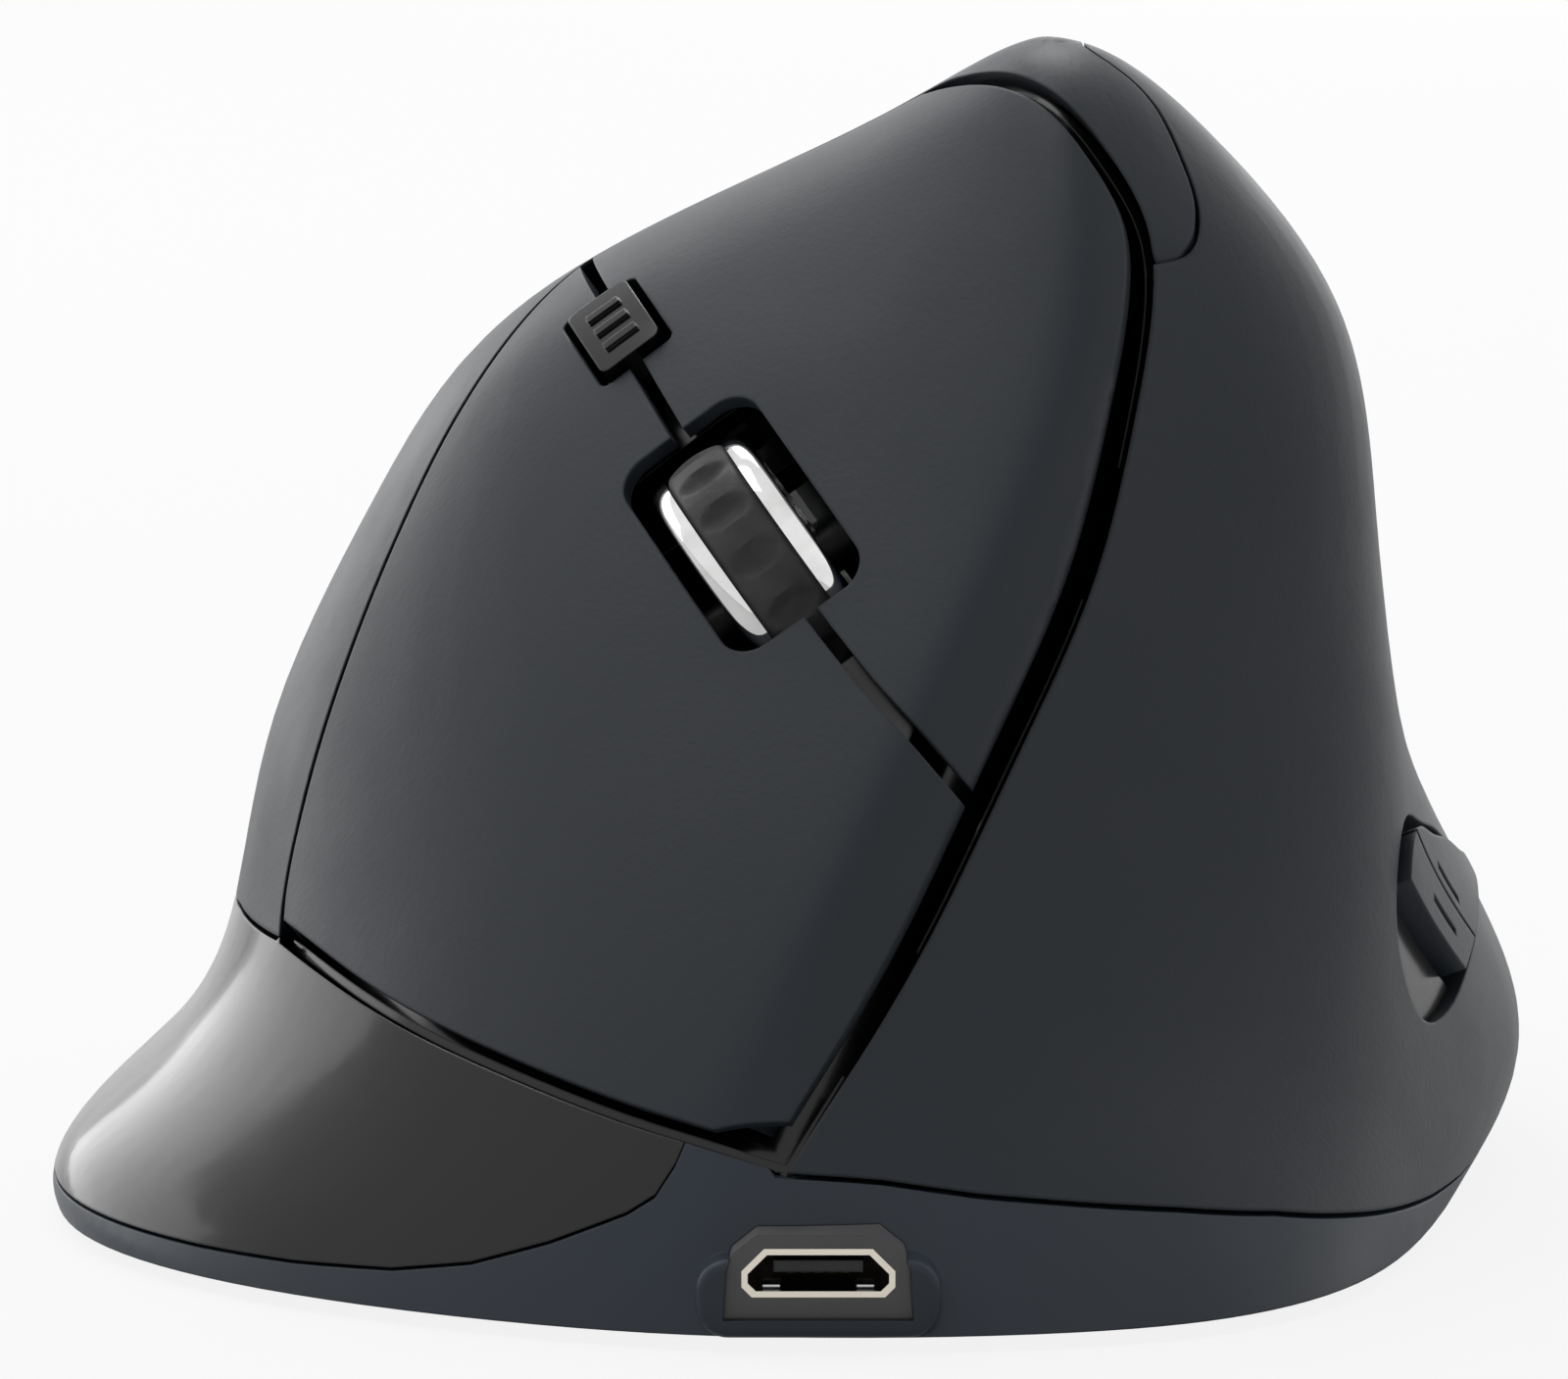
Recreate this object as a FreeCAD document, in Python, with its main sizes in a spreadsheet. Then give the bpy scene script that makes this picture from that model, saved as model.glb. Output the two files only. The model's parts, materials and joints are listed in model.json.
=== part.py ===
"""Upright rechargeable mouse for the right hand, modelled piece by piece in millimetres.

X points to the thumb side, Y from the nose to the heel and Z up. The origin is on the desk, under
the middle of the body. Most pieces of the click mechanism are drawn in the keys' own axes: x runs
down the finger, y towards the index key and z straight out of the keys.
"""
import FreeCAD, Part
import Sketcher
import math
import os

Vector = FreeCAD.Vector
Rotation = FreeCAD.Rotation
Placement = FreeCAD.Placement

doc = FreeCAD.newDocument("upright_mouse")

SIZES = {
    # The whole body, and its moulded walls.
    "body_length": 110.0,
    "body_width": 78.0,
    "body_height": 60.8,
    "wall": 1.8,
    "floor_thickness": 2.0,
    "seam_gap": 0.25,
    # The two keys: where they lie, and the gaps round them.
    "key_yaw": -57.9,
    "key_dip": 33.4,
    "key_roll": 44.4,
    "front_gap": 1.0,
    "bottom_gap": 1.05,
    "rear_gap": 0.3,
    "channel_width": 0.8,
    "slot_length": 14.6,
    "slot_width": 8.3,
    "slot_corner": 1.8,
    "press_room": 1.15,
    "key_edge": 0.4,
    "key_edge_width": 1.2,
    "key_lug_width": 2.6,
    "hinge_pin_radius": 0.8,
    "hinge_back": 22.0,
    "hinge_depth": 11.0,
    # The glossy frame under the keys.
    "frame_wall": 1.3,
    "frame_rim": 2.2,
    "frame_clearance": 0.5,
    "rib_depth": 0.9,
    "rib_gap": 0.3,
    "post_radius": 1.6,
    "pillar_radius": 2.0,
    # The scroll wheel.
    "wheel_radius": 8.0,
    "wheel_rise": 2.3,
    "tyre_width": 4.1,
    "tyre_thickness": 1.8,
    "ring_width": 0.85,
    "ring_radius": 7.75,
    "tread_depth": 0.45,
    "tread_count": 16.0,
    "hub_width": 4.0,
    "web_width": 1.6,
    "axle_radius": 1.2,
    "axle_length": 14.6,
    "running_fit": 0.05,
    "carrier_bar": 2.0,
    "carrier_height": 2.0,
    "carrier_cheek": 1.8,
    "encoder_length": 10.0,
    "encoder_width": 2.9,
    "encoder_height": 7.0,
    "wheel_click": 0.5,
    # The resolution button.
    "dpi_length": 5.9,
    "dpi_width": 3.7,
    "dpi_rise": 0.55,
    "dpi_gap": 0.45,
    "dpi_travel": 0.4,
    # The two thumb buttons and their pocket.
    "pocket_rim": 1.0,
    "pocket_depth": 2.4,
    "pocket_floor": 1.2,
    "wedge_gap": 0.7,
    "thumb_button_rise": 0.5,
    "thumb_button_skin": 1.6,
    "thumb_button_gap": 0.3,
    "mark_length": 3.6,
    "mark_width": 0.5,
    "mark_depth": 0.35,
    "thumb_travel": 0.6,
    "thumb_board_depth": 8.6,
    "thumb_board_length": 24.0,
    "thumb_board_width": 7.0,
    # Boards and switches.
    "board_thickness": 1.2,
    "switch_length": 12.8,
    "switch_width": 5.8,
    "switch_height": 6.5,
    "plunger_length": 1.2,
    "plunger_width": 2.4,
    "plunger_rise": 0.7,
    "plunger_travel": 0.5,
    "sliding_fit": 0.05,
    "tact_side": 5.0,
    "tact_height": 2.0,
    "tact_button": 0.7,
    "tact_radius": 1.2,
    "stem_radius": 1.1,
    "upper_board_depth": 13.3,
    "main_board_height": 3.6,
    # The charging port.
    "port_centre": 1.0,
    "port_height": 3.9,
    "port_width": 7.5,
    "port_tall": 2.4,
    "port_shell": 0.3,
    "port_length": 5.5,
    "collar_width": 12.0,
    "collar_top": 4.6,
    "tongue_width": 4.4,
    "tongue_height": 0.6,
    "bezel_depth": 3.0,
    "bezel_recess": 0.4,
    # The underside.
    "foot_height": 0.7,
    "foot_thickness": 1.1,
    "foot_length": 14.0,
    "foot_width": 6.0,
    "screw_radius": 1.0,
    "screw_head": 2.0,
    "screw_length": 6.4,
    "boss_radius": 2.8,
    "battery_length": 32.0,
    "battery_width": 24.0,
    "battery_height": 6.0,
    "battery_corner": 1.5,
    "sensor_side": 9.0,
    "sensor_height": 3.0,
    "lens_length": 12.0,
    "lens_width": 7.0,
    "lens_height": 0.9,
    "power_length": 8.6,
    "power_width": 3.6,
    "power_height": 3.4,
    "slider_length": 3.0,
    "slider_width": 2.2,
    "slider_travel": 2.5,
}

sheet = doc.addObject("Spreadsheet::Sheet", "Dim")
for row, (alias, value) in enumerate(SIZES.items(), start=1):
    sheet.set(f"A{row}", alias)
    sheet.set(f"B{row}", str(value))
    sheet.setAlias(f"B{row}", alias)
doc.recompute()


def size(alias):
    """One driving dimension, as the sheet holds it."""
    return float(getattr(sheet, alias))


# The body's guide rings, from the desk up: a height, and the ring's points in plan. Each ring
# starts at the crease down the prow and goes round by the thumb side, the heel and the finger side.
GUIDE_RINGS = [
    (0.7, [(1, -54.8), (9, -54.6), (20.5, -52), (28.8, -42.5), (33.2, -26), (37.3, -2), (34, 30),
           (6, 59), (-22, 50), (-35, 24), (-39.5, -10), (-38.3, -30), (-27, -44.5), (-9, -54)]),
    (2.8, [(-1.1, -53.9), (5, -53.8), (20, -51.3), (28.5, -41.5), (33.6, -26), (40.3, -2),
           (34, 28), (6, 58), (-21.5, 49.5), (-34.5, 23), (-40.9, -10), (-39.2, -29),
           (-27, -43.5), (-8.5, -53.3)]),
    (7.0, [(-3.1, -52.1), (0.6, -51.9), (18.1, -48.4), (28.2, -38.6), (33.4, -26), (42.7, -2),
           (33.4, 25.5), (6, 56.6), (-20.8, 48), (-30, 20), (-33.8, -10.5), (-33.2, -28),
           (-23.5, -42.2), (-7.2, -51.6)]),
    (13.5, [(-1.9, -49.2), (0.3, -48.3), (15.3, -42.3), (28.2, -33.4), (31.9, -25.3), (39.6, -1.8),
            (31.1, 24.3), (6, 54.6), (-19.7, 44.7), (-28.8, 17.5), (-30.2, -11.7), (-27.1, -28),
            (-17.8, -41.3), (-4.2, -48.5)]),
    (24.0, [(3.4, -44.4), (5.2, -43.2), (18, -35.7), (29, -28.5), (32, -21), (31.5, 0), (26, 24),
            (6, 50), (-17, 39), (-26.9, 14), (-29.7, -10), (-25.9, -24), (-13.5, -36.5),
            (1.6, -43.8)]),
    (36.0, [(9.9, -37.6), (11.6, -36.2), (20.5, -30), (28, -25), (31, -18), (28, 2), (23, 22),
            (7, 43), (-11, 32), (-20.9, 10), (-23.2, -9), (-20, -20), (-8, -30), (7.8, -37)]),
    (47.0, [(15, -31), (16.8, -29.5), (22.5, -26), (28.0, -22), (30.3, -15), (27.4, 3), (20, 17),
            (8, 30), (-4.5, 22), (-14.4, 6), (-17.4, -7), (-12.6, -16), (-1, -24), (11.5, -29.8)]),
    (56.0, [(14.5, -25), (16.5, -24), (18.8, -22.8), (20.7, -20), (22.2, -14), (20.4, -5), (15, 4),
            (10, 9), (8.3, 5), (6.2, -3), (5.7, -9), (7, -14.5), (9.3, -19.5), (12, -23.5)]),
    (60.8, [(13.5, -19.5), (14.5, -19.3), (15.4, -18.6), (16.0, -17.5), (16.4, -15), (15.6, -11),
            (14.3, -8), (12.7, -6.5), (11.9, -8), (11.1, -11), (10.7, -14), (11, -16.5),
            (11.5, -18.5), (12.5, -19.3)]),
]
CREST = (13.2, -14.5)
DRAWN_LENGTH = 110.0
DRAWN_WIDTH = 78.0
DRAWN_HEIGHT = 60.8

stretch = Vector(size("body_width") / DRAWN_WIDTH,
                 size("body_length") / DRAWN_LENGTH,
                 (size("body_height") - size("foot_height")) / (DRAWN_HEIGHT - 0.7))


def on_body(x, y, z=0.7):
    """A place drawn on the body at its drawn size, moved to the size in the sheet."""
    height = size("foot_height") + (z - 0.7) * stretch.z
    return Vector(x * stretch.x, y * stretch.y, height)


wall = size("wall")
desk_gap = size("foot_height")
floor_top = desk_gap + size("floor_thickness")
seam = size("seam_gap")

KEYS = Placement(on_body(-2.7, -30.8, 37.4),
                 Rotation(size("key_yaw"), size("key_dip"), size("key_roll")))
THUMB = Placement(on_body(34.0, -10.0, 17.0), Rotation(84.3, 0, 69.6))
LEVEL = Placement()


def moved(place, x, y, z):
    """A place shifted along its own axes."""
    return place.multiply(Placement(Vector(x, y, z), Rotation()))


# Body surface.

def guide_net():
    """The rings' points as rows, closed by the crest."""
    rows = [[on_body(x, y, height) for x, y in ring] for height, ring in GUIDE_RINGS]
    crest = on_body(CREST[0], CREST[1], GUIDE_RINGS[-1][0])
    rows.append([crest] * len(rows[0]))
    return rows


def net_normal(net, i, j):
    """The direction straight out of the net at one of its points."""
    if i == len(net) - 1:
        return Vector(0, 0, 1)
    across = net[i][(j + 1) % len(net[i])] - net[i][j - 1]
    upward = net[i + 1][j] - net[max(i - 1, 0)][j]
    return across.cross(upward).normalize()


def inset_net(net, distance, drop):
    """The net moved inwards by a wall's thickness, its foot lowered by drop."""
    rows = [[point - net_normal(net, i, j) * distance for j, point in enumerate(row)]
            for i, row in enumerate(net)]
    foot = net[0][0].z - drop
    rows[0] = [Vector(point.x, point.y, foot) for point in rows[0]]
    return rows


def net_solid(net):
    """A smooth closed solid over the net, flat at its foot."""
    rows = len(net)
    columns = len(net[0])
    surface = Part.BSplineSurface()
    poles = [[net[i][j] for i in range(rows)] for j in range(columns)]
    surface.buildFromPolesMultsKnots(
        poles, [1] * (columns + 1), [4] + [1] * (rows - 4) + [4],
        list(range(columns + 1)), list(range(rows - 2)), True, False, 3, 3)
    skin = surface.toShape()
    foot = net[0][0].z
    rim = [edge for edge in skin.Edges if not edge.Degenerated and edge.BoundBox.ZMax < foot + 0.1]
    ground = Part.Face(Part.Wire(rim))
    if ground.normalAt(0, 0).z > 0:
        ground.reverse()
    return Part.Solid(Part.Shell([skin, ground]))


def body_inset(distance, drop=1.0):
    """The body shrunk by a distance; a negative one swells it."""
    return net_solid(inset_net(NET, distance, drop))


NET = guide_net()
BODY = net_solid(NET)
CAVITY = body_inset(wall)
SHELL = BODY.cut(CAVITY)


# Outlines and cutters.

def spline(points):
    """A smooth edge through points in the plane."""
    curve = Part.BSplineCurve()
    curve.interpolate([Vector(point[0], point[1], 0) for point in points])
    return curve.toShape()


def closed_outline(*runs):
    """A face inside smooth runs of points, joined end to end by straight lines where they part."""
    edges = []
    for index, run in enumerate(runs):
        edges.append(spline(run) if len(run) > 2 else line(run[0], run[-1]))
        start = runs[(index + 1) % len(runs)][0]
        if math.dist(run[-1], start) > 1e-6:
            edges.append(line(run[-1], start))
    return Part.Face(Part.Wire(edges))


def line(start, end):
    return Part.makeLine(Vector(start[0], start[1], 0), Vector(end[0], end[1], 0))


def polygon(points):
    """A face with straight sides."""
    corners = [Vector(x, y, 0) for x, y in points]
    return Part.Face(Part.makePolygon(corners + corners[:1]))


def prism(face, low, high, place=LEVEL):
    """The face swept from low to high along z, then put in its place."""
    solid = face.extrude(Vector(0, 0, high - low))
    solid.translate(Vector(0, 0, low))
    solid.Placement = place.multiply(solid.Placement)
    return solid


def shifted(points, distance):
    """A run of points moved sideways, to its left as it goes."""
    moved = []
    for index, (x, y) in enumerate(points):
        before = points[max(index - 1, 0)]
        after = points[min(index + 1, len(points) - 1)]
        ahead = Vector(after[0] - before[0], after[1] - before[1], 0).normalize()
        moved.append((x - ahead.y * distance, y + ahead.x * distance))
    return moved


def rounded_box(x0, x1, y0, y1, corner):
    """A rectangle with round corners, as a face."""
    box = Part.makePlane(x1 - x0, y1 - y0, Vector(x0, y0, 0))
    wire = box.OuterWire
    return Part.Face(round_wire(wire, corner))


def round_wire(wire, corner):
    """The wire with its corners rounded, by an inward and then an outward offset."""
    return Part.Face(wire).makeOffset2D(-corner).makeOffset2D(corner).OuterWire


def box(x0, x1, y0, y1, z0, z1, place=LEVEL):
    """A plain block between two corners, put in its place."""
    block = Part.makeBox(x1 - x0, y1 - y0, z1 - z0, Vector(x0, y0, z0))
    block.Placement = place.multiply(block.Placement)
    return block


def rod(x, y, z0, z1, radius, place=LEVEL):
    """A round bar along z, put in its place."""
    bar = Part.makeCylinder(radius, z1 - z0, Vector(x, y, z0))
    bar.Placement = place.multiply(bar.Placement)
    return bar


def cross_rod(y0, y1, x, z, radius, place=LEVEL):
    """A round bar along y, put in its place."""
    bar = Part.makeCylinder(radius, y1 - y0, Vector(x, y0, z), Vector(0, 1, 0))
    bar.Placement = place.multiply(bar.Placement)
    return bar


def largest(shape):
    """The main solid of a cut, without the slivers that it leaves."""
    return max(shape.Solids, key=lambda solid: solid.Volume)


def joined(*shapes):
    """Several solids as one."""
    return shapes[0].fuse(list(shapes[1:]))


def without(shape, *tools):
    return shape.cut(list(tools))


# The keys' opening in their own axes: the seam behind it, the covers' edge in front and the base
# and lip below.
REAR_SEAM = [(-1.8, -32.0), (-3.9, -30.8), (-6.9, -27.9), (-11.8, -22.0), (-16.2, -16.3),
             (-20.2, -10.4), (-23.2, -5.6), (-26.2, -1.5), (-29.2, 2.2), (-30.4, 5.6),
             (-29.4, 9.2), (-26.4, 13.0), (-24.6, 16.2), (-23.0, 19.4), (-19.2, 22.6)]
FRONT_EDGE = [(-19.2, 22.6), (-17.2, 23.6), (-14.2, 24.9), (-10.6, 25.9), (-6.6, 26.1),
              (-3.1, 25.6), (0.4, 23.7), (5.2, 19.5), (11.3, 12.9), (17.6, 4.5), (24.4, -5.1),
              (27.9, -10.5), (31.5, -16.4)]
BOTTOM_EDGE = [(31.5, -16.4), (30.1, -17.8), (27.8, -19.6), (25.0, -21.5), (21.8, -23.4),
               (17.2, -25.8), (11.8, -28.2), (5.7, -30.2), (-1.8, -32.0)]
# What is cut off the middle key's lower front corner.
KEY_CORNER = [(27.2, -19.7), (27.9, -18.5), (29.3, -15.2), (29.9, -13.8), (36.0, -13.8),
              (36.0, -24.0)]
KEY_DEPTH = -17.0
KEY_TOP = 12.0


def lengthened(points, reach):
    """A run of points carried on straight at both ends."""
    start = Vector(*points[0], 0) - Vector(*points[1], 0)
    end = Vector(*points[-1], 0) - Vector(*points[-2], 0)
    start = Vector(*points[0], 0) + start.normalize() * reach
    end = Vector(*points[-1], 0) + end.normalize() * reach
    return [(start.x, start.y)] + points + [(end.x, end.y)]


def strip(run, outer, inner):
    """The strip along one side of the keys' opening, between two distances inside its edge."""
    near = shifted(run, -outer)
    far = shifted(run, -inner)
    return prism(closed_outline(near, far[::-1]), KEY_DEPTH, KEY_TOP, KEYS)


def key_opening(margin=0.0):
    """The keys' opening through the body, let out by a margin."""
    face = closed_outline(*[shifted(run, margin) for run in (REAR_SEAM, FRONT_EDGE, BOTTOM_EDGE)])
    return prism(face, KEY_DEPTH, KEY_TOP, KEYS)


def key_space():
    """The opening less the gaps round the keys."""
    gaps = [strip(lengthened(run, 3.0), -3.0, size(gap)) for run, gap in
            ((REAR_SEAM, "rear_gap"), (FRONT_EDGE, "front_gap"), (BOTTOM_EDGE, "bottom_gap"))]
    return largest(key_opening().cut(gaps))


# The channel between the keys, from the seam behind them to the gap in front.
CHANNEL = [(-32.0, 0.9), (-21.0, 0.75), (-13.6, 0.2), (-7.2, -0.1), (8.6, 0.4), (12.4, 0.6),
           (19.0, 1.4), (23.0, 2.0)]
INDEX_FAR = 34.0
MIDDLE_FAR = -40.0


def key_half(side):
    """The part of the keys' plane on one side of the channel."""
    near = shifted(CHANNEL, side * size("channel_width") / 2)
    far = INDEX_FAR if side > 0 else MIDDLE_FAR
    ends = [(40.0, near[-1][1]), (40.0, far), (-36.0, far), (-36.0, near[0][1])]
    return prism(polygon(near + ends), KEY_DEPTH, KEY_TOP, KEYS)


# The wheel's slot, set a little towards the index key.
SLOT_CENTRE = (-0.5, -0.05)
SLOT_RELIEF = 0.7
WHEEL_OFFSET = -0.25
wheel_depth = size("wheel_radius") - size("wheel_rise")


def wheel_slot(margin):
    """The slot, let out by a margin, through the keys or the frame."""
    half_length = size("slot_length") / 2 + margin
    half_width = size("slot_width") / 2 + margin
    face = rounded_box(SLOT_CENTRE[0] - half_length, SLOT_CENTRE[0] + half_length,
                       SLOT_CENTRE[1] - half_width, SLOT_CENTRE[1] + half_width,
                       size("slot_corner"))
    return prism(face, KEY_DEPTH, KEY_TOP, KEYS)


DPI_CENTRE = (-17.1, 0.35)


def dpi_outline(margin):
    half_length = size("dpi_length") / 2 + margin
    half_width = size("dpi_width") / 2 + margin
    x, y = DPI_CENTRE
    return rounded_box(x - half_length, x + half_length, y - half_width, y + half_width, 0.5)


# Switches under the keys, in the keys' axes: the middle of each and its plunger's offset.
INDEX_SWITCH = (0.0, 10.6)
MIDDLE_SWITCH = (6.0, -14.8)
PLUNGER_OFFSET = 1.5
board_top = -size("upper_board_depth")
switch_top = board_top + size("switch_height")
plunger_top = switch_top + size("plunger_rise")
key_edge = size("key_edge")
hinge_x = -size("hinge_back")
hinge_z = -size("hinge_depth")
LUG_HALF = 2.0
INDEX_LUGS = (5.2, 13.2)
MIDDLE_LUGS = (-3.2,)
FRAME_EARS = (-6.2, -0.9, 8.0, 16.0)
EAR_WIDTH = 1.4


def presser(centre):
    """The boss under a key that rests on its switch's plunger."""
    x = centre[0] + PLUNGER_OFFSET
    boss = rod(x, centre[1], plunger_top + size("sliding_fit"), KEY_TOP, 1.4, KEYS)
    return boss.common(CAVITY)


def lug(middle):
    """One hinge lug under a key, with its bore."""
    half = size("key_lug_width") / 2
    low = hinge_z - LUG_HALF + 0.4
    block = box(hinge_x - LUG_HALF, hinge_x + LUG_HALF, middle - half, middle + half,
                low, KEY_TOP, KEYS).common(CAVITY)
    bore = cross_rod(middle - half - 1, middle + half + 1, hinge_x, hinge_z,
                     size("hinge_pin_radius") + size("sliding_fit"), KEYS)
    return block.cut(bore)


def make_key(side, switch, lugs):
    """One key: its skin, cut by the channel, the slot and the button's opening."""
    skin = SHELL.common(key_space())
    thinned = [strip(run, 0.0, size(gap) + size("key_edge_width")).common(body_inset(key_edge))
               for run, gap in ((FRONT_EDGE, "front_gap"), (BOTTOM_EDGE, "bottom_gap"))]
    corner = prism(polygon(KEY_CORNER), KEY_DEPTH, KEY_TOP, KEYS)
    skin = skin.common(key_half(side)).cut(thinned + [corner])
    relief = wheel_slot(SLOT_RELIEF).common(body_inset(1.0))
    skin = without(skin, wheel_slot(0), relief,
                   prism(dpi_outline(size("dpi_gap")), KEY_DEPTH, KEY_TOP, KEYS))
    return joined(largest(skin), presser(switch), *[lug(middle) for middle in lugs])


# Seam between the base and the covers, seen from the front: across, height.
BASE_TOP = [(-41.0, 2.0), (-30.0, 2.0), (-25.1, 2.1), (-20.1, 2.4), (-16.1, 3.1), (-12.2, 4.4),
            (-8.4, 6.0), (-7.0, 6.9), (-6.0, 8.4), (-5.5, 9.5), (-1.8, 8.9), (-1.1, 8.0), (2.2, 7.7),
            (4.1, 7.5), (8.9, 6.7), (13.8, 6.1), (18.7, 5.5), (23.7, 4.7), (27.8, 3.7), (30.0, 3.1),
            (32.5, 2.4), (34.5, 2.0), (41.0, 2.0)]
LIP_LOW = 2.0
LIP_BACK = 30.0
LIP_RIGHT = -3.0
# The finger lip's upper edge behind the keys, seen from the side: along, height.
LIP_TOP = [(-58.0, 17.0), (-27.0, 17.0), (-25.5, 15.3), (-16.0, 15.4), (-10.0, 15.0), (0.0, 13.8),
           (15.0, 10.6), (30.0, 6.2)]


def upright_face(points, low):
    """A face in the XZ plane under a run of points, down to a height."""
    places = [on_body(x, 0, z) for x, z in points]
    top = [Vector(place.x, 0, place.z) for place in places]
    corners = top + [Vector(top[-1].x, 0, low), Vector(top[0].x, 0, low)]
    return Part.Face(Part.makePolygon(corners + corners[:1]))


def front_block(points, low, y0, y1):
    """Everything under a front outline, from y0 to y1."""
    face = upright_face(points, low)
    face.translate(Vector(0, y0, 0))
    return face.extrude(Vector(0, y1 - y0, 0))


def raised(points, height):
    return [(x, z + height) for x, z in points]


def side_block(points, low, x0, x1):
    """Everything under a side outline, from x0 to x1."""
    places = [on_body(0, y, z) for y, z in points]
    top = [Vector(x0, place.y, place.z) for place in places]
    corners = top + [Vector(x0, top[-1].y, low), Vector(x0, top[0].y, low)]
    return Part.Face(Part.makePolygon(corners + corners[:1])).extrude(Vector(x1 - x0, 0, 0))


FAR = 120.0
front_end = on_body(0, -18).y
lip_back = on_body(0, LIP_BACK).y
lip_low = on_body(0, 0, LIP_LOW).z


def base_region(rise=0.0):
    """The space that the base's wall takes, raised by a seam."""
    nose = front_block(raised(BASE_TOP, rise), -2, -FAR, front_end)
    return nose.fuse(box(-FAR, FAR, front_end, FAR, -2, lip_low + rise))


def lip_region(shrink=0.0):
    """The space that the glossy finger lip takes."""
    upper = side_block(raised(LIP_TOP, -shrink), -2, -FAR, on_body(LIP_RIGHT, 0).x)
    return upper.cut(box(-FAR, FAR, lip_back - shrink, FAR, -3, FAR))


# The crest's split between the palm cover and the thumb cover, in plan.
CREST_SPLIT = [(16.6, -28.0), (18.1, -26.3), (20.3, -24.2), (20.4, -23.0), (19.7, -21.5),
               (18.0, -18.9), (15.6, -17.2), (14.9, -12.0), (15.6, 0.0), (18.0, 20.0), (21.0, 36.0),
               (23.0, 62.0)]


def thumb_side_region(shift):
    """The space on the thumb side of the crest's split."""
    run = [(point.x, point.y) for point in [on_body(x, y) for x, y in CREST_SPLIT]]
    run = shifted(run, shift)
    corners = [run[-1], (FAR, run[-1][1]), (FAR, -FAR), (-8, -FAR), (-6, -40), run[0]]
    edges = [spline(run)] + [line(a, b) for a, b in zip(corners, corners[1:])]
    return prism(Part.Face(Part.Wire(edges)), -5, FAR)


# Thumb pocket, in the thumb side's axes: x to the heel, y up the slope.
POCKET = [(-16.8, -3.6), (-15.6, -5.4), (-13.0, -6.0), (-10.0, -5.8), (-5.5, -4.9),
          (-0.5, -4.0), (4.4, -3.2), (6.9, -2.2), (6.7, -0.8), (4.4, 0.2), (-0.8, 1.8),
          (-7.0, 3.3), (-12.2, 4.2), (-15.4, 1.9)]
POCKET_LOW = -12.0
POCKET_HIGH = 8.0
# The buttons' ends slant down and back: where each line meets the pocket's x axis.
BUTTON_FRONT = -13.0
BUTTON_SPLIT = -8.1
BUTTON_END = 30.0
FORWARD_STEM = (-9.4, -1.4)
BACK_STEM = (0.4, -1.2)
FORWARD_MARK = (-9.3, -1.5)
BACK_MARK = (-6.3, -0.4)


def closed_spline(points):
    curve = Part.BSplineCurve()
    curve.interpolate([Vector(x, y, 0) for x, y in points], True)
    return Part.Face(Part.Wire(curve.toShape()))


def pocket_area(margin):
    """The pocket's outline let out by a margin; a negative one takes it in."""
    ring = []
    for index, (x, y) in enumerate(POCKET):
        before = POCKET[index - 1]
        after = POCKET[(index + 1) % len(POCKET)]
        ahead = Vector(after[0] - before[0], after[1] - before[1], 0).normalize()
        ring.append((x + ahead.y * margin, y - ahead.x * margin))
    return closed_spline(ring)


def pocket_prism(margin, low=POCKET_LOW, high=POCKET_HIGH):
    return prism(pocket_area(margin), low, high, THUMB)


# Places on the floor, in plan.
SCREWS = [(20.0, -41.0), (27.0, 16.0), (10.0, 44.0), (-18.0, 34.0)]
PILLARS = [(-18.0, -28.0), (0.0, -40.0)]
FEET = [(-25.0, -33.0, -40.0), (21.0, -33.5, 35.0), (-22.0, 23.0, 62.0), (22.0, 33.0, -50.0)]
SENSOR = (4.0, -12.0)
POWER = (-19.0, 2.0)
BOARD_POSTS = [(-23.0, -18.0), (21.0, -12.0), (17.0, -34.0), (-15.0, -37.0)]


def screw_places():
    return [on_body(x, y) for x, y in SCREWS]


def boss_on(cover, places):
    """The cover with its screw bosses, which stand on the floor."""
    bosses = []
    for place in places:
        boss = rod(place.x, place.y, floor_top, FAR, size("boss_radius")).common(CAVITY)
        hole = rod(place.x, place.y, 0, desk_gap + size("screw_length") + 0.6,
                   size("screw_radius") + size("sliding_fit"))
        bosses.append(largest(boss.cut(hole)))
    return joined(cover, *bosses)


def foot_face(place, turn, margin=0.0):
    face = rounded_box(-size("foot_length") / 2 - margin, size("foot_length") / 2 + margin,
                       -size("foot_width") / 2 - margin, size("foot_width") / 2 + margin,
                       size("foot_width") / 2.2)
    face.Placement = Placement(Vector(place.x, place.y, 0), Rotation(turn, 0, 0))
    return face


# The grey bezel round the receptacle: straight below and chamfered above.
BEZEL_CORNERS = [(-4.65, -2.3), (4.65, -2.3), (4.5, 0.2), (4.2, 1.0), (3.0, 1.9), (-3.0, 1.9),
                 (-4.2, 1.0), (-4.5, 0.2)]


def bezel_outline():
    return polygon(BEZEL_CORNERS)


nose_front = -size("body_length") / 2
PORT = Placement(Vector(size("port_centre"), nose_front, size("port_height")),
                 Rotation(Vector(1, 0, 0), 90))


def port_prism(face, back, front):
    """A face drawn as seen from the front, swept from back to front, in mm behind the nose."""
    return prism(face, -back, -front, PORT)


parts = []


def add_part(label, shape):
    """A free-form piece as an object of the document."""
    piece = doc.addObject("Part::Feature", label)
    piece.Label = label
    piece.Shape = shape
    parts.append(piece)
    return piece


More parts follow.
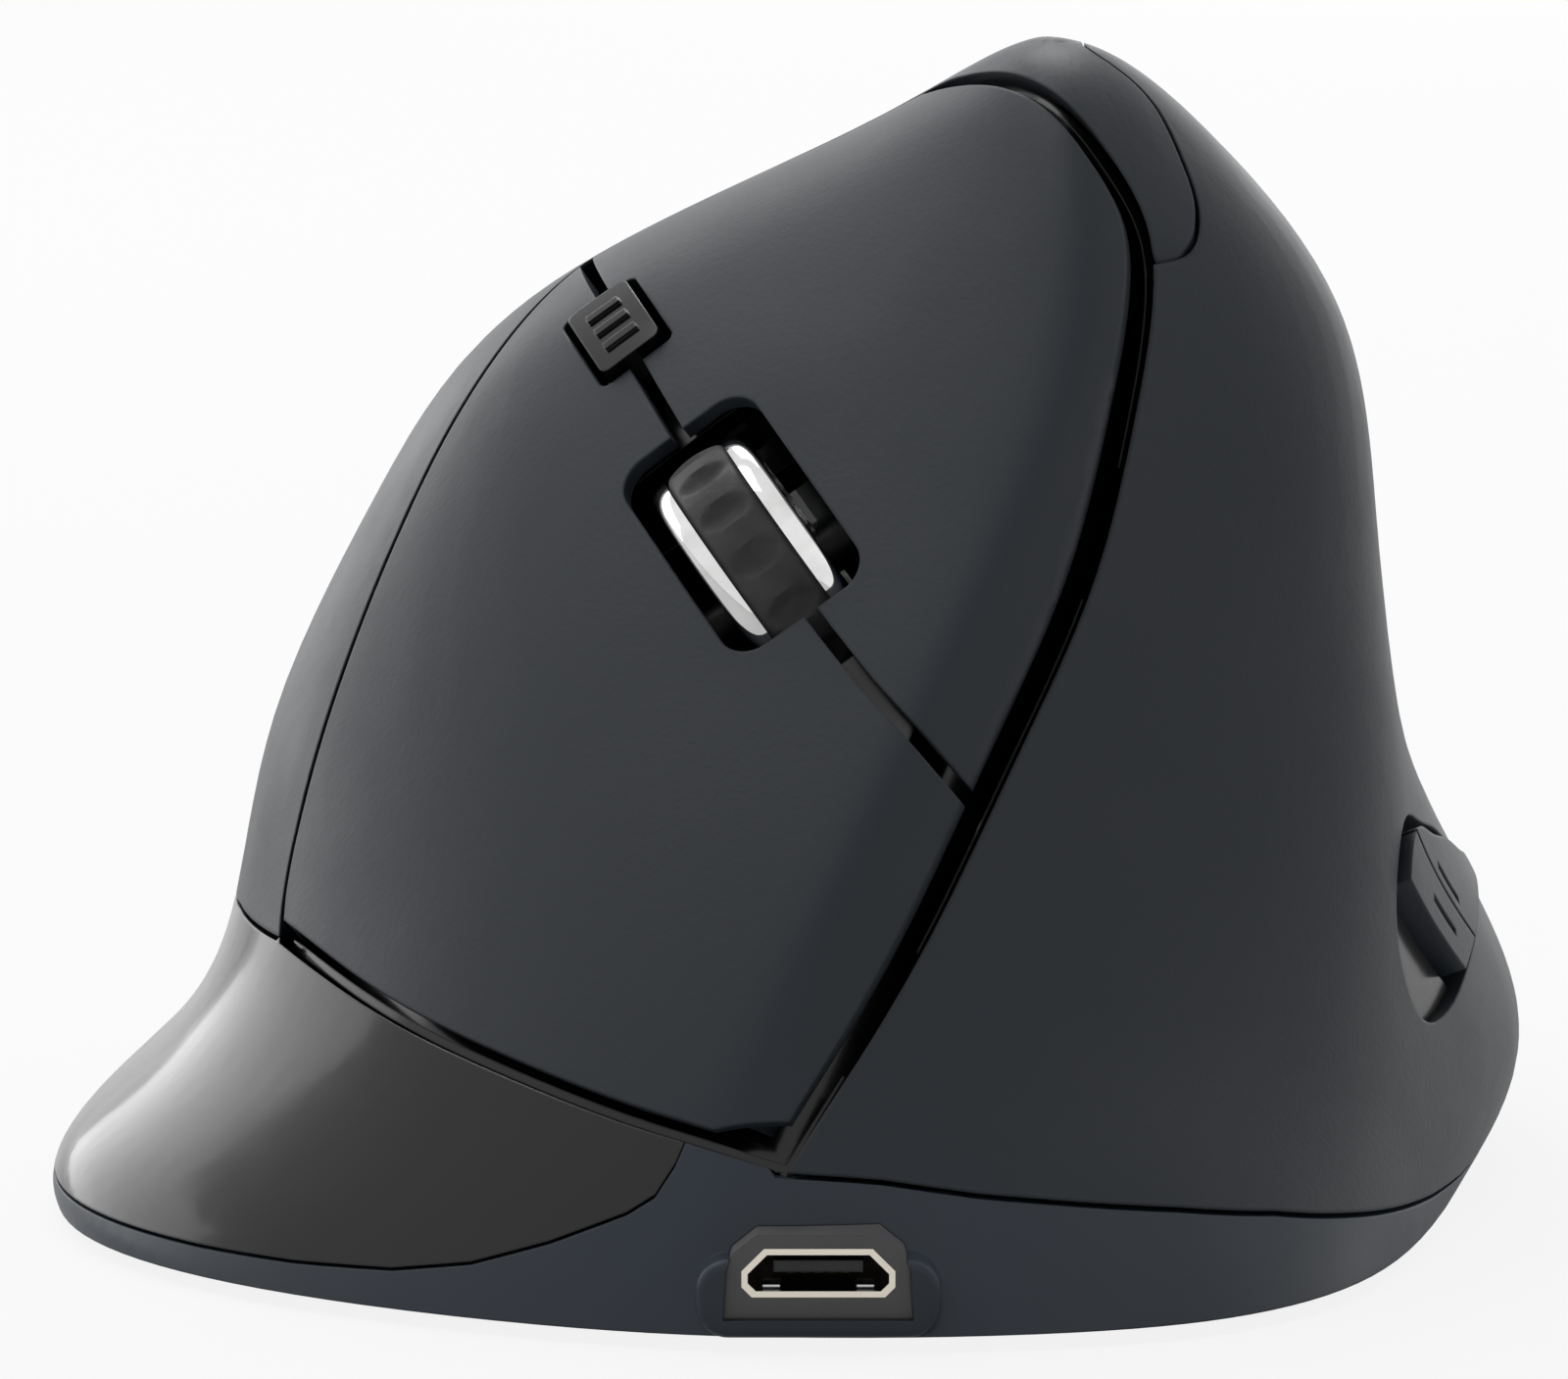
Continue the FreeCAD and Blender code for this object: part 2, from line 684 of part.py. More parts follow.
def make_base_shell():
    """The base: its floor, its low wall, the raised nose round the port and the board posts."""
    slab = BODY.common(box(-FAR, FAR, -FAR, FAR, 0, lip_low))
    raised_floor = CAVITY.common(box(-FAR, FAR, -FAR, FAR, lip_low, floor_top))
    rim = SHELL.common(base_region())
    rim = rim.cut(key_opening())
    collar = rounded_box(-size("collar_width") / 2, size("collar_width") / 2,
                         desk_gap - size("port_height"),
                         size("collar_top") - size("port_height"), 1.6)
    collar = port_prism(collar, 3.4, 0.0)
    collar = collar.makeFillet(0.45, [edge for edge in collar.Edges
                                      if abs(edge.BoundBox.YMax - nose_front) < 1e-3])
    base = joined(slab, raised_floor, largest(rim), collar)
    posts = [rod(place.x, place.y, floor_top, size("main_board_height"), 1.6)
             for place in [on_body(x, y) for x, y in BOARD_POSTS]]
    base = joined(base, *posts)
    holes = [port_prism(bezel_outline(), 8.0, -1.0)]
    for place in screw_places():
        holes.append(rod(place.x, place.y, 0, floor_top + 1,
                         size("screw_radius") + 0.2))
        holes.append(Part.makeCone(size("screw_head") + 0.3, size("screw_radius") + 0.1, 1.3,
                                   Vector(place.x, place.y, desk_gap)))
    for x, y, turn in FEET:
        holes.append(prism(foot_face(on_body(x, y), turn, 0.15), 0, size("foot_thickness")))
    sensor = on_body(*SENSOR)
    holes.append(prism(rounded_box(sensor.x - 4, sensor.x + 4, sensor.y - 2.5, sensor.y + 2.5, 1.0),
                       0, FAR))
    power = on_body(*POWER)
    reach = size("slider_travel") + size("slider_length") / 2 + 0.2
    half = size("slider_width") / 2 + 0.2
    holes.append(prism(rounded_box(power.x - half, power.x + half,
                                   power.y - size("slider_length") / 2 - 0.2,
                                   power.y + reach, 0.3), 0, FAR))
    return add_part("base_shell", largest(without(base, *holes)))


def cover_shell():
    """What is left of the shell above the base, the keys' opening and the lip."""
    rest = SHELL.cut(base_region(seam))
    rest = rest.cut(key_opening())
    return rest.cut(lip_region(-seam))


def make_covers():
    """The thumb cover and the palm cover, which meet along the crest."""
    rest = cover_shell()
    thumb = largest(rest.common(thumb_side_region(-seam / 2)))
    thumb = thumb.cut(pocket_prism(0))
    palm = largest(rest.cut(thumb_side_region(seam / 2)))
    places = screw_places()
    thumb = boss_on(thumb, places[:2])
    palm = boss_on(palm, places[2:])
    return add_part("thumb_cover", thumb), add_part("palm_cover", palm)


def make_finger_lip():
    """The glossy lip under the ring and little fingers."""
    lip = SHELL.common(lip_region()).cut(base_region(seam * 0.7))
    return add_part("finger_lip", largest(lip.cut(key_opening())))


frame_top = wall + size("press_room")


def port_room():
    """The space behind the nose that the receptacle and the board's edge take."""
    half = size("port_width") / 2 + 1.75
    top = size("port_tall") / 2 + size("frame_clearance")
    return port_prism(rounded_box(-half, half, -size("port_height") - 0.6, top, 0.5),
                      size("port_length") + 2.0, -2.0)



# Notches in the frame's ribs, which show black in the front gap, and the posts to the board.
NOTCHES = [(8.4, 16.2), (10.6, 13.6), (25.2, -6.4), (27.2, -9.6)]
NOTCH_RADIUS = 2.0
FRAME_POSTS = [(-10.5, -13.0), (-10.5, 10.5), (14.0, -8.8), (10.4, 9.6)]


def frame_windows():
    """The openings in the frame for the wheel, the buttons, the lugs and the pressers."""
    windows = [wheel_slot(1.5), prism(dpi_outline(0.6), KEY_DEPTH, KEY_TOP, KEYS)]
    cheek = size("carrier_cheek")
    windows.append(box(-3.4, 3.2, -5.0 - cheek, 4.9 + cheek, KEY_DEPTH, KEY_TOP, KEYS))
    for x, y in (INDEX_SWITCH, MIDDLE_SWITCH):
        windows.append(rod(x + PLUNGER_OFFSET, y, KEY_DEPTH, KEY_TOP, 2.1, KEYS))
    half = size("key_lug_width") / 2 + 0.3
    for middle in INDEX_LUGS + MIDDLE_LUGS:
        windows.append(box(hinge_x - LUG_HALF - 0.5, hinge_x + LUG_HALF + 0.5,
                           middle - half, middle + half, KEY_DEPTH, KEY_TOP, KEYS))
    return windows


def frame_stands(under):
    """The frame's posts to the board, its ears for the hinge pins and its pillars."""
    stands = [rod(x, y, board_top, KEY_TOP, size("post_radius"), KEYS).common(under)
              for x, y in FRAME_POSTS]
    for middle in FRAME_EARS:
        ear = box(hinge_x - LUG_HALF, hinge_x + LUG_HALF, middle - EAR_WIDTH / 2,
                  middle + EAR_WIDTH / 2, hinge_z - LUG_HALF + 0.4, KEY_TOP, KEYS)
        stands.append(ear.common(under))
    for place in [on_body(x, y) for x, y in PILLARS]:
        stands.append(rod(place.x, place.y, floor_top, FAR, size("pillar_radius")).common(under))
    return stands


def make_key_frame():
    """The glossy frame under the keys, with the ribs that show in the gaps round them."""
    inner = body_inset(frame_top + size("frame_wall"))
    rim = size("frame_rim")
    plate = body_inset(frame_top).cut(inner).common(key_opening(rim))
    gap = size("rib_gap")
    front = strip(FRONT_EDGE, gap, size("front_gap") - gap)
    bottom = strip(BOTTOM_EDGE, gap, size("bottom_gap") - gap)
    ribs = body_inset(size("rib_depth")).cut(inner).common(front.fuse(bottom))
    for x, y in NOTCHES:
        ribs = ribs.cut(rod(x, y, KEY_DEPTH, KEY_TOP, NOTCH_RADIUS, KEYS))
    ribs = [rib for rib in ribs.Solids if rib.Volume > 2.0]
    stands = frame_stands(body_inset(frame_top + size("frame_wall") / 2))
    frame = joined(largest(plate), *ribs, *stands)
    bore = cross_rod(-30, 30, hinge_x, hinge_z, size("hinge_pin_radius"), KEYS)
    holes = [bore, port_room(), *frame_windows()]
    return add_part("key_frame", largest(without(frame, *holes)))


def make_keys():
    add_part("index_key", make_key(1, INDEX_SWITCH, INDEX_LUGS))
    add_part("middle_key", make_key(-1, MIDDLE_SWITCH, MIDDLE_LUGS))


def make_dpi_button():
    """The resolution button: a cap that follows the keys, tactile bars and a long stem."""
    rise = size("dpi_rise")
    face = dpi_outline(0)
    cap = body_inset(-rise, 0).cut(body_inset(wall)).common(prism(face, KEY_DEPTH, KEY_TOP, KEYS))
    x, y = DPI_CENTRE
    bars = [box(x + shift - 0.25, x + shift + 0.25, y - 1.0, y + 1.0, KEY_DEPTH, KEY_TOP, KEYS)
            for shift in (-1.4, 0.0, 1.4)]
    raised_skin = body_inset(-rise - 0.2, 0).cut(body_inset(0.5))
    bars = [bar.common(raised_skin) for bar in bars]
    low = board_top + size("tact_height") + size("tact_button") + size("dpi_travel") + 0.05
    stem = rod(x, y, low, KEY_TOP, size("stem_radius"), KEYS).common(body_inset(1.0))
    return add_part("dpi_button", joined(largest(cap), stem, *bars))


thumb_board_top = -size("thumb_board_depth")


def thumb_stem(centre):
    """A thumb button's stem, which ends one travel above its switch."""
    low = thumb_board_top + size("tact_height") + size("tact_button") + size("thumb_travel") + 0.05
    stem = rod(centre[0], centre[1], low, POCKET_HIGH, size("stem_radius"), THUMB)
    return stem.common(body_inset(1.0))


def slanted(start, end):
    """What lies between two slanted lines across the pocket."""
    face = polygon([(start - 20, 20), (end - 20, 20), (end + 20, -20), (start + 20, -20)])
    return prism(face, POCKET_LOW, POCKET_HIGH, THUMB)


def slanted_mark(centre):
    """A tactile slit along the buttons' slant."""
    place = moved(THUMB, centre[0], centre[1], 0)
    turned = place.multiply(Placement(Vector(), Rotation(-45, 0, 0)))
    half = size("mark_length") / 2
    wide = size("mark_width") / 2
    return box(-half, half, -wide, wide, POCKET_LOW, POCKET_HIGH, turned)


def make_thumb_buttons():
    """The forward and back buttons: caps that stand a little proud of the cover."""
    gap = size("thumb_button_gap")
    rise = size("thumb_button_rise")
    skin = body_inset(-rise, 0).cut(body_inset(size("thumb_button_skin")))
    skin = skin.common(pocket_prism(-gap - 0.5))
    half_gap = gap / math.sqrt(2)
    forward = slanted(BUTTON_FRONT, BUTTON_SPLIT - half_gap)
    back = slanted(BUTTON_SPLIT + half_gap, BUTTON_END)
    top = body_inset(-rise - 0.1, 0).cut(body_inset(-rise + size("mark_depth"), 0))
    for label, half, stem, mark in (("forward_button", forward, FORWARD_STEM, FORWARD_MARK),
                                    ("back_button", back, BACK_STEM, BACK_MARK)):
        cap = largest(skin.common(half))
        slit = slanted_mark(mark).common(top)
        add_part(label, joined(largest(cap.cut(slit)), thumb_stem(stem)))


def make_side_bezel():
    """The glossy pocket behind the thumb buttons, with the posts for their board."""
    deep = size("pocket_depth")
    shell = CAVITY.cut(body_inset(deep + size("pocket_floor")))
    bezel = shell.common(pocket_prism(size("pocket_rim")))
    recess = BODY.cut(body_inset(deep)).common(pocket_prism(0))
    wedge = body_inset(0.7).common(pocket_prism(-0.25))
    wedge = wedge.common(slanted(-FAR, BUTTON_FRONT - size("wedge_gap")))
    wedge = wedge.cut(body_inset(deep + 0.4))
    under = body_inset(deep + size("pocket_floor") / 2)
    posts = [rod(x, y, thumb_board_top, POCKET_HIGH, 1.2, THUMB).common(under)
             for x, y in THUMB_POSTS]
    holes = [rod(x, y, POCKET_LOW, POCKET_HIGH, size("stem_radius") + 0.3, THUMB)
             for x, y in (FORWARD_STEM, BACK_STEM)]
    bezel = largest(without(bezel, recess))
    return add_part("side_bezel", largest(without(joined(bezel, wedge, *posts), *holes)))


THUMB_POSTS = [(-14.8, -1.6), (6.0, -1.5)]


# Pieces drawn as sketches: each corner's distances are bound to the sheet.

def value(text):
    """What an expression, or a plain number, comes to."""
    return float(sheet.evalExpression(text)) if isinstance(text, str) else float(text)


def origin_part(body, role):
    return next(item for item in body.Origin.OriginFeatures if item.Role == role)


def new_body(label, place=LEVEL):
    body = doc.addObject("PartDesign::Body", label)
    body.Label = label
    body.Placement = place
    parts.append(body)
    return body


def new_sketch(body, lift=0.0, role="XY_Plane"):
    """An empty sketch on one of the body's own planes, lifted along its normal."""
    drawing = body.newObject("Sketcher::SketchObject", body.Name + "_sketch")
    drawing.AttachmentSupport = [(origin_part(body, role), "")]
    drawing.MapMode = "FlatFace"
    drawing.AttachmentOffset = Placement(Vector(0, 0, value(lift)), Rotation())
    if isinstance(lift, str):
        drawing.setExpression("AttachmentOffset.Base.z", lift)
    return drawing


def bind(drawing, kind, geometry, point, text):
    """One distance of a sketch, bound to the sheet where it is an expression."""
    constraint = Sketcher.Constraint(kind, -1, 1, geometry, point, value(text))
    index = drawing.addConstraint(constraint)
    if isinstance(text, str):
        drawing.setExpression(f"Constraints[{index}]", text)


def draw_outline(drawing, corners):
    """A closed outline with straight sides."""
    count = len(corners)
    first = drawing.GeometryCount
    places = [Vector(value(x), value(y), 0) for x, y in corners]
    for index in range(count):
        drawing.addGeometry(Part.LineSegment(places[index], places[(index + 1) % count]), False)
    for index in range(count):
        following = first + (index + 1) % count
        drawing.addConstraint(Sketcher.Constraint("Coincident", first + index, 2, following, 1))
    for index, (x, y) in enumerate(corners):
        bind(drawing, "DistanceX", first + index, 1, x)
        bind(drawing, "DistanceY", first + index, 1, y)


def draw_rectangle(drawing, length, width, x=0.0, y=0.0):
    """A rectangle about a middle."""
    left, right = f"{x} - ({length}) / 2", f"{x} + ({length}) / 2"
    near, far = f"{y} - ({width}) / 2", f"{y} + ({width}) / 2"
    draw_outline(drawing, [(left, near), (right, near), (right, far), (left, far)])


def draw_circle(drawing, x, y, radius):
    index = drawing.addGeometry(Part.Circle(Vector(value(x), value(y), 0), Vector(0, 0, 1),
                                            value(radius)), False)
    number = drawing.addConstraint(Sketcher.Constraint("Radius", index, value(radius)))
    if isinstance(radius, str):
        drawing.setExpression(f"Constraints[{number}]", radius)
    bind(drawing, "DistanceX", index, 3, x)
    bind(drawing, "DistanceY", index, 3, y)


def add_feature(body, kind, drawing, length):
    """A pad or a pocket of a sketch."""
    feature = body.newObject("PartDesign::" + kind, body.Name + "_" + kind)
    feature.Profile = drawing
    feature.Length = value(length)
    if isinstance(length, str):
        feature.setExpression("Length", length)
    return feature


def pad_outline(body, corners, low, height):
    drawing = new_sketch(body, low)
    draw_outline(drawing, corners)
    return add_feature(body, "Pad", drawing, height)


def pad_rectangle(body, length, width, low, height, x=0.0, y=0.0):
    drawing = new_sketch(body, low)
    draw_rectangle(drawing, length, width, x, y)
    return add_feature(body, "Pad", drawing, height)


def pad_circle(body, x, y, radius, low, height):
    drawing = new_sketch(body, low)
    draw_circle(drawing, x, y, radius)
    return add_feature(body, "Pad", drawing, height)


def cut_rectangle(body, length, width, top, depth, x=0.0, y=0.0):
    drawing = new_sketch(body, top)
    draw_rectangle(drawing, length, width, x, y)
    return add_feature(body, "Pocket", drawing, depth)


def cut_circle(body, x, y, radius, top, depth):
    drawing = new_sketch(body, top)
    draw_circle(drawing, x, y, radius)
    return add_feature(body, "Pocket", drawing, depth)


def revolve(body, corners):
    """The outline, in the XY plane, turned about the Y axis."""
    drawing = new_sketch(body)
    draw_outline(drawing, corners)
    feature = body.newObject("PartDesign::Revolution", body.Name + "_turned")
    feature.Profile = drawing
    feature.ReferenceAxis = (drawing, ["V_Axis"])
    feature.Angle = 360
    return feature


# The scroll wheel, drawn about the Y axis, which is its axle.

WHEEL_X = -0.1
WHEEL = moved(KEYS, WHEEL_X, WHEEL_OFFSET, -wheel_depth)


def make_wheel():
    rim = "Dim.wheel_radius - Dim.tyre_thickness"
    bore = "Dim.axle_radius"
    hub = new_body("wheel_hub", WHEEL)
    web = "Dim.web_width / 2"
    half = "Dim.hub_width / 2"
    boss = "Dim.axle_radius + 1.4"
    revolve(hub, [(bore, f"-{half}"), (boss, f"-{half}"), (boss, f"-{web}"),
                  (f"{rim} - 1.2", f"-{web}"), (f"{rim} - 1.2", f"-{half}"), (rim, f"-{half}"),
                  (rim, half), (f"{rim} - 1.2", half), (f"{rim} - 1.2", web), (boss, web),
                  (boss, half), (bore, half)])
    tyre = new_body("wheel_tyre", WHEEL)
    side = "Dim.tyre_width / 2"
    revolve(tyre, [(rim, f"-{side}"), ("Dim.wheel_radius - 0.35", f"-{side}"),
                   ("Dim.wheel_radius", f"0.8 - {side}"), ("Dim.wheel_radius", f"{side} - 0.8"),
                   ("Dim.wheel_radius - 0.35", side), (rim, side)])
    groove = new_sketch(tyre, 1.4, "XZ_Plane")
    draw_circle(groove, "Dim.wheel_radius + 1.0 - Dim.tread_depth", 0.0, 1.0)
    cut = add_feature(tyre, "Pocket", groove, 2.8)
    doc.recompute()
    tread = tyre.newObject("PartDesign::PolarPattern", "wheel_tread")
    tread.Originals = [cut]
    tread.Axis = (origin_part(tyre, "Y_Axis"), [""])
    tread.Angle = 360
    tread.Occurrences = int(size("tread_count"))
    tread.setExpression("Occurrences", "Dim.tread_count")
    tyre.Tip = tread
    for label, sign in (("wheel_ring_left", "-"), ("wheel_ring_right", "")):
        ring = new_body(label, WHEEL)
        near = f"{sign}{side}"
        far = f"{sign}({side} + Dim.ring_width)"
        edge = f"{sign}({side} + Dim.ring_width * 0.55)"
        revolve(ring, [(f"{rim} - 1.2", near), ("Dim.ring_radius", near),
                       ("Dim.ring_radius - 0.15", edge), ("Dim.ring_radius - 0.55", far),
                       (f"{rim} - 1.2", far)])
    axle = new_body("wheel_axle", WHEEL)
    low = "-Dim.axle_length / 2 - 0.6"
    high = "Dim.axle_length / 2 - 0.6"
    revolve(axle, [(0.0, low), ("Dim.axle_radius - 0.2", low), (bore, f"{low} + 0.2"),
                   (bore, f"{high} - 0.2"), ("Dim.axle_radius - 0.2", high), (0.0, high)])


CARRIER_REACH = 10.6
CARRIER_FRONT = 12.2
CARRIER_LOW = -10.5


def make_carrier():
    """The frame that holds the wheel's axle and moves down when the wheel is pressed."""
    carrier = new_body("wheel_carrier", KEYS)
    bar = "Dim.carrier_bar"
    cheek = "Dim.carrier_cheek"
    inner = 4.6
    outer = f"{inner} + {cheek}"
    pad_outline(carrier, [(-CARRIER_REACH, f"-({outer})"), (CARRIER_FRONT, f"-({outer})"),
                          (CARRIER_FRONT, outer), (-CARRIER_REACH, outer)],
                CARRIER_LOW, "Dim.carrier_height")
    pad_rectangle(carrier, "5.2", f"2 * ({outer})", CARRIER_LOW,
                  f"{-CARRIER_LOW} - Dim.wheel_radius + Dim.wheel_rise + 2.1", WHEEL_X)
    hole = new_sketch(carrier, 10.0)
    near = f"{bar} - {CARRIER_REACH}"
    draw_outline(hole, [(near, -inner), (f"{CARRIER_REACH} - {bar}", -inner),
                        (f"{CARRIER_REACH} - {bar}", inner), (near, inner)])
    add_feature(carrier, "Pocket", hole, 30.0)
    bore = new_sketch(carrier, 20.0, "XZ_Plane")
    draw_circle(bore, WHEEL_X, "Dim.wheel_rise - Dim.wheel_radius",
                "Dim.axle_radius + Dim.running_fit")
    add_feature(carrier, "Pocket", bore, 40.0)
    encoder = new_body("wheel_encoder", KEYS)
    far_side = f"-({outer}) - Dim.encoder_width / 2"
    pad_rectangle(encoder, "Dim.encoder_length", "Dim.encoder_width", -12.0,
                  "Dim.encoder_height", WHEEL_X, far_side)
    shaft = new_sketch(encoder, 20.0, "XZ_Plane")
    draw_circle(shaft, WHEEL_X, "Dim.wheel_rise - Dim.wheel_radius",
                "Dim.axle_radius + Dim.running_fit")
    add_feature(encoder, "Pocket", shaft, 40.0)


# Switches and boards.

def make_key_switch(label, centre):
    """A microswitch on the upper board, and its plunger in a well."""
    place = moved(KEYS, centre[0], centre[1], board_top)
    switch = new_body(label + "_switch", place)
    pad_rectangle(switch, "Dim.switch_length", "Dim.switch_width", 0.0, "Dim.switch_height")
    cut_rectangle(switch, "Dim.plunger_length + 2 * Dim.sliding_fit",
                  "Dim.plunger_width + 2 * Dim.sliding_fit", "Dim.switch_height", 2.0,
                  PLUNGER_OFFSET)
    plunger = new_body(label + "_plunger", place)
    pad_rectangle(plunger, "Dim.plunger_length", "Dim.plunger_width",
                  "Dim.switch_height - 2.0 + Dim.plunger_travel + 0.1",
                  "1.9 - Dim.plunger_travel + Dim.plunger_rise", PLUNGER_OFFSET)


def make_tact(label, place):
    """A small push switch: a square case and a round button."""
    tact = new_body(label, place)
    pad_rectangle(tact, "Dim.tact_side", "Dim.tact_side", 0.0, "Dim.tact_height")
    pad_circle(tact, 0.0, 0.0, "Dim.tact_radius", "Dim.tact_height", "Dim.tact_button")


WHEEL_TACT_X = 10.4


def make_switches():
    make_key_switch("index", INDEX_SWITCH)
    make_key_switch("middle", MIDDLE_SWITCH)
    make_tact("dpi_switch", moved(KEYS, DPI_CENTRE[0], DPI_CENTRE[1], board_top))
    low = CARRIER_LOW - size("wheel_click") - 0.05 - size("tact_button") - board_top
    wheel_tact = new_body("wheel_switch", moved(KEYS, WHEEL_TACT_X, 0, board_top))
    pad_rectangle(wheel_tact, "Dim.tact_side - 1.0", "Dim.tact_side", 0.0, low)
    pad_circle(wheel_tact, 0.0, 0.0, "Dim.tact_radius", low, "Dim.tact_button")
    for label, centre in (("forward_switch", FORWARD_STEM), ("back_switch", BACK_STEM)):
        make_tact(label, moved(THUMB, centre[0], centre[1], thumb_board_top))


def make_boards():
    thick = "Dim.board_thickness"
    upper = new_body("upper_board", moved(KEYS, 0, 0, board_top))
    pad_outline(upper, [(-14.0, -19.0), (15.0, -19.0), (17.0, 2.0), (15.4, 4.8), (7.2, 13.7),
                        (-14.0, 13.7), (-14.0, 5.0), (-21.0, 5.0), (-21.0, -4.0), (-14.0, -4.0)],
                f"-{thick}", thick)
    cut_rectangle(upper, "12.0", "10.0", 5.0, 10.0, WHEEL_X)
    side = new_body("thumb_board", moved(THUMB, 0, 0, thumb_board_top))
    pad_rectangle(side, "Dim.thumb_board_length", "Dim.thumb_board_width", f"-{thick}", thick,
                  -4.0, -1.0)
    main = new_body("main_board")
    low = "Dim.main_board_height"
    pad_outline(main, [(-6.0, -49.0), (-3.0, -49.0), (-3.0, -47.6), (5.0, -47.6), (5.0, -49.0),
                       (8.0, -49.0), (9.0, -46.0), (15.0, -41.0), (24.0, -30.0), (25.0, -2.0),
                       (-13.5, -2.0), (-13.5, 14.0), (-24.0, 14.0), (-27.0, -10.0),
                       (-25.0, -28.0), (-16.0, -40.0), (-7.0, -46.0)], low, thick)
    cut_rectangle(main, "6.0", "5.0", 20.0, 20.0, on_body(*SENSOR).x, on_body(*SENSOR).y)
    cut_rectangle(main, "Dim.power_width + 0.4", "Dim.power_length + 0.4", 20.0, 20.0,
                  on_body(*POWER).x, on_body(*POWER).y + size("slider_travel") / 2)
    for x, y in PILLARS:
        place = on_body(x, y)
        cut_circle(main, place.x, place.y, "Dim.pillar_radius + 0.3", 20.0, 20.0)


# The charging port, drawn as seen from the front.

def scaled_chamfers(half, tall, low, high):
    """A micro receptacle's outline: small chamfers below, large ones above."""
    return [(f"{low} - {half}", f"-{tall}"), (f"{half} - {low}", f"-{tall}"),
            (half, f"{low} - {tall}"), (half, f"{tall} - {high}"), (f"{half} - {high}", tall),
            (f"{high} - {half}", tall), (f"-{half}", f"{tall} - {high}"),
            (f"-{half}", f"{low} - {tall}")]


def make_port():
    half = "Dim.port_width / 2"
    tall = "Dim.port_tall / 2"
    mouth = "-Dim.bezel_recess - Dim.port_length"
    shell = new_body("port_shell", PORT)
    pad_outline(shell, scaled_chamfers(half, tall, 0.5, 1.1), mouth, "Dim.port_length")
    hollow = new_sketch(shell, "-Dim.bezel_recess")
    inner_half = "(Dim.port_width / 2 - Dim.port_shell)"
    inner_tall = "(Dim.port_tall / 2 - Dim.port_shell)"
    draw_outline(hollow, scaled_chamfers(inner_half, inner_tall, 0.4, 0.95))
    add_feature(shell, "Pocket", hollow, "Dim.port_length - 0.4")
    tongue = new_body("port_tongue", PORT)
    pad_rectangle(tongue, "Dim.tongue_width", "Dim.tongue_height", f"{mouth} + 0.4",
                  "Dim.port_length - 1.4", 0.0, 0.15)
    bezel = new_body("port_bezel", PORT)
    pad_outline(bezel, BEZEL_CORNERS, "-Dim.bezel_recess - Dim.bezel_depth", "Dim.bezel_depth")
    window = new_sketch(bezel, 10.0)
    draw_outline(window, scaled_chamfers(half, tall, 0.5, 1.1))
    add_feature(bezel, "Pocket", window, 30.0)


# Power, sensor and underside.

def make_power():
    place = on_body(*POWER)
    middle = moved(LEVEL, place.x, place.y, 0)
    switch = new_body("power_switch", middle)
    offset = size("slider_travel") / 2
    pad_rectangle(switch, "Dim.power_width", "Dim.power_length", floor_top,
                  "Dim.power_height", 0.0, offset)
    cut_rectangle(switch, "Dim.slider_width + 0.1", "Dim.slider_length + Dim.slider_travel + 0.2",
                  floor_top + 0.9, 3.0, 0.0, offset)
    slider = new_body("power_slider", middle)
    pad_rectangle(slider, "Dim.slider_width", "Dim.slider_length", desk_gap + 0.5,
                  floor_top - desk_gap + 0.3)
    battery = doc.addObject("Part::Box", "battery_block")
    battery.setExpression("Length", "Dim.battery_length")
    battery.setExpression("Width", "Dim.battery_width")
    battery.setExpression("Height", "Dim.battery_height")
    corner = on_body(-12.0, 4.0)
    battery.Placement = Placement(Vector(corner.x, corner.y, floor_top), Rotation())
    doc.recompute()
    rounded = doc.addObject("Part::Fillet", "battery")
    rounded.Label = "battery"
    rounded.Base = battery
    upright = [index for index, edge in enumerate(battery.Shape.Edges, start=1)
               if abs(edge.BoundBox.ZLength - size("battery_height")) < 1e-3]
    rounded.Edges = [(index, size("battery_corner"), size("battery_corner")) for index in upright]
    parts.append(rounded)


def make_sensor():
    place = on_body(*SENSOR)
    middle = moved(LEVEL, place.x, place.y, 0)
    chip = new_body("sensor_chip", middle)
    board = "Dim.main_board_height + Dim.board_thickness"
    pad_rectangle(chip, "Dim.sensor_side", "Dim.sensor_side", board, "Dim.sensor_height")
    lens = new_body("sensor_lens", middle)
    pad_rectangle(lens, "Dim.lens_length", "Dim.lens_width", floor_top, "Dim.lens_height")
    pad_circle(lens, 0.0, 0.0, 1.6, desk_gap + 0.6, floor_top - desk_gap)
    pad_circle(lens, 0.0, 0.0, 2.0, floor_top, "Dim.main_board_height + Dim.board_thickness - "
               + str(floor_top))


FOOT_NAMES = ["foot_front_left", "foot_front_right", "foot_rear_left", "foot_rear_right"]


def make_underside():
    """The sliding feet and the case screws."""
    for label, (x, y, turn) in zip(FOOT_NAMES, FEET):
        foot = doc.addObject("Part::Feature", label)
        foot.Label = label
        foot.Shape = prism(foot_face(on_body(x, y), turn), 0, size("foot_thickness"))
        parts.append(foot)
    for index, place in enumerate(screw_places(), start=1):
        screw = new_body(f"case_screw_{index}", Placement(Vector(place.x, place.y, 0),
                                                          Rotation(Vector(1, 0, 0), 90)))
        top = desk_gap + 0.1
        revolve(screw, [(0.0, top), ("Dim.screw_head", top), ("Dim.screw_head", top + 0.2),
                        ("Dim.screw_radius", top + 1.3), ("Dim.screw_radius",
                                                          f"{top} + Dim.screw_length"),
                        (0.0, f"{top} + Dim.screw_length")])


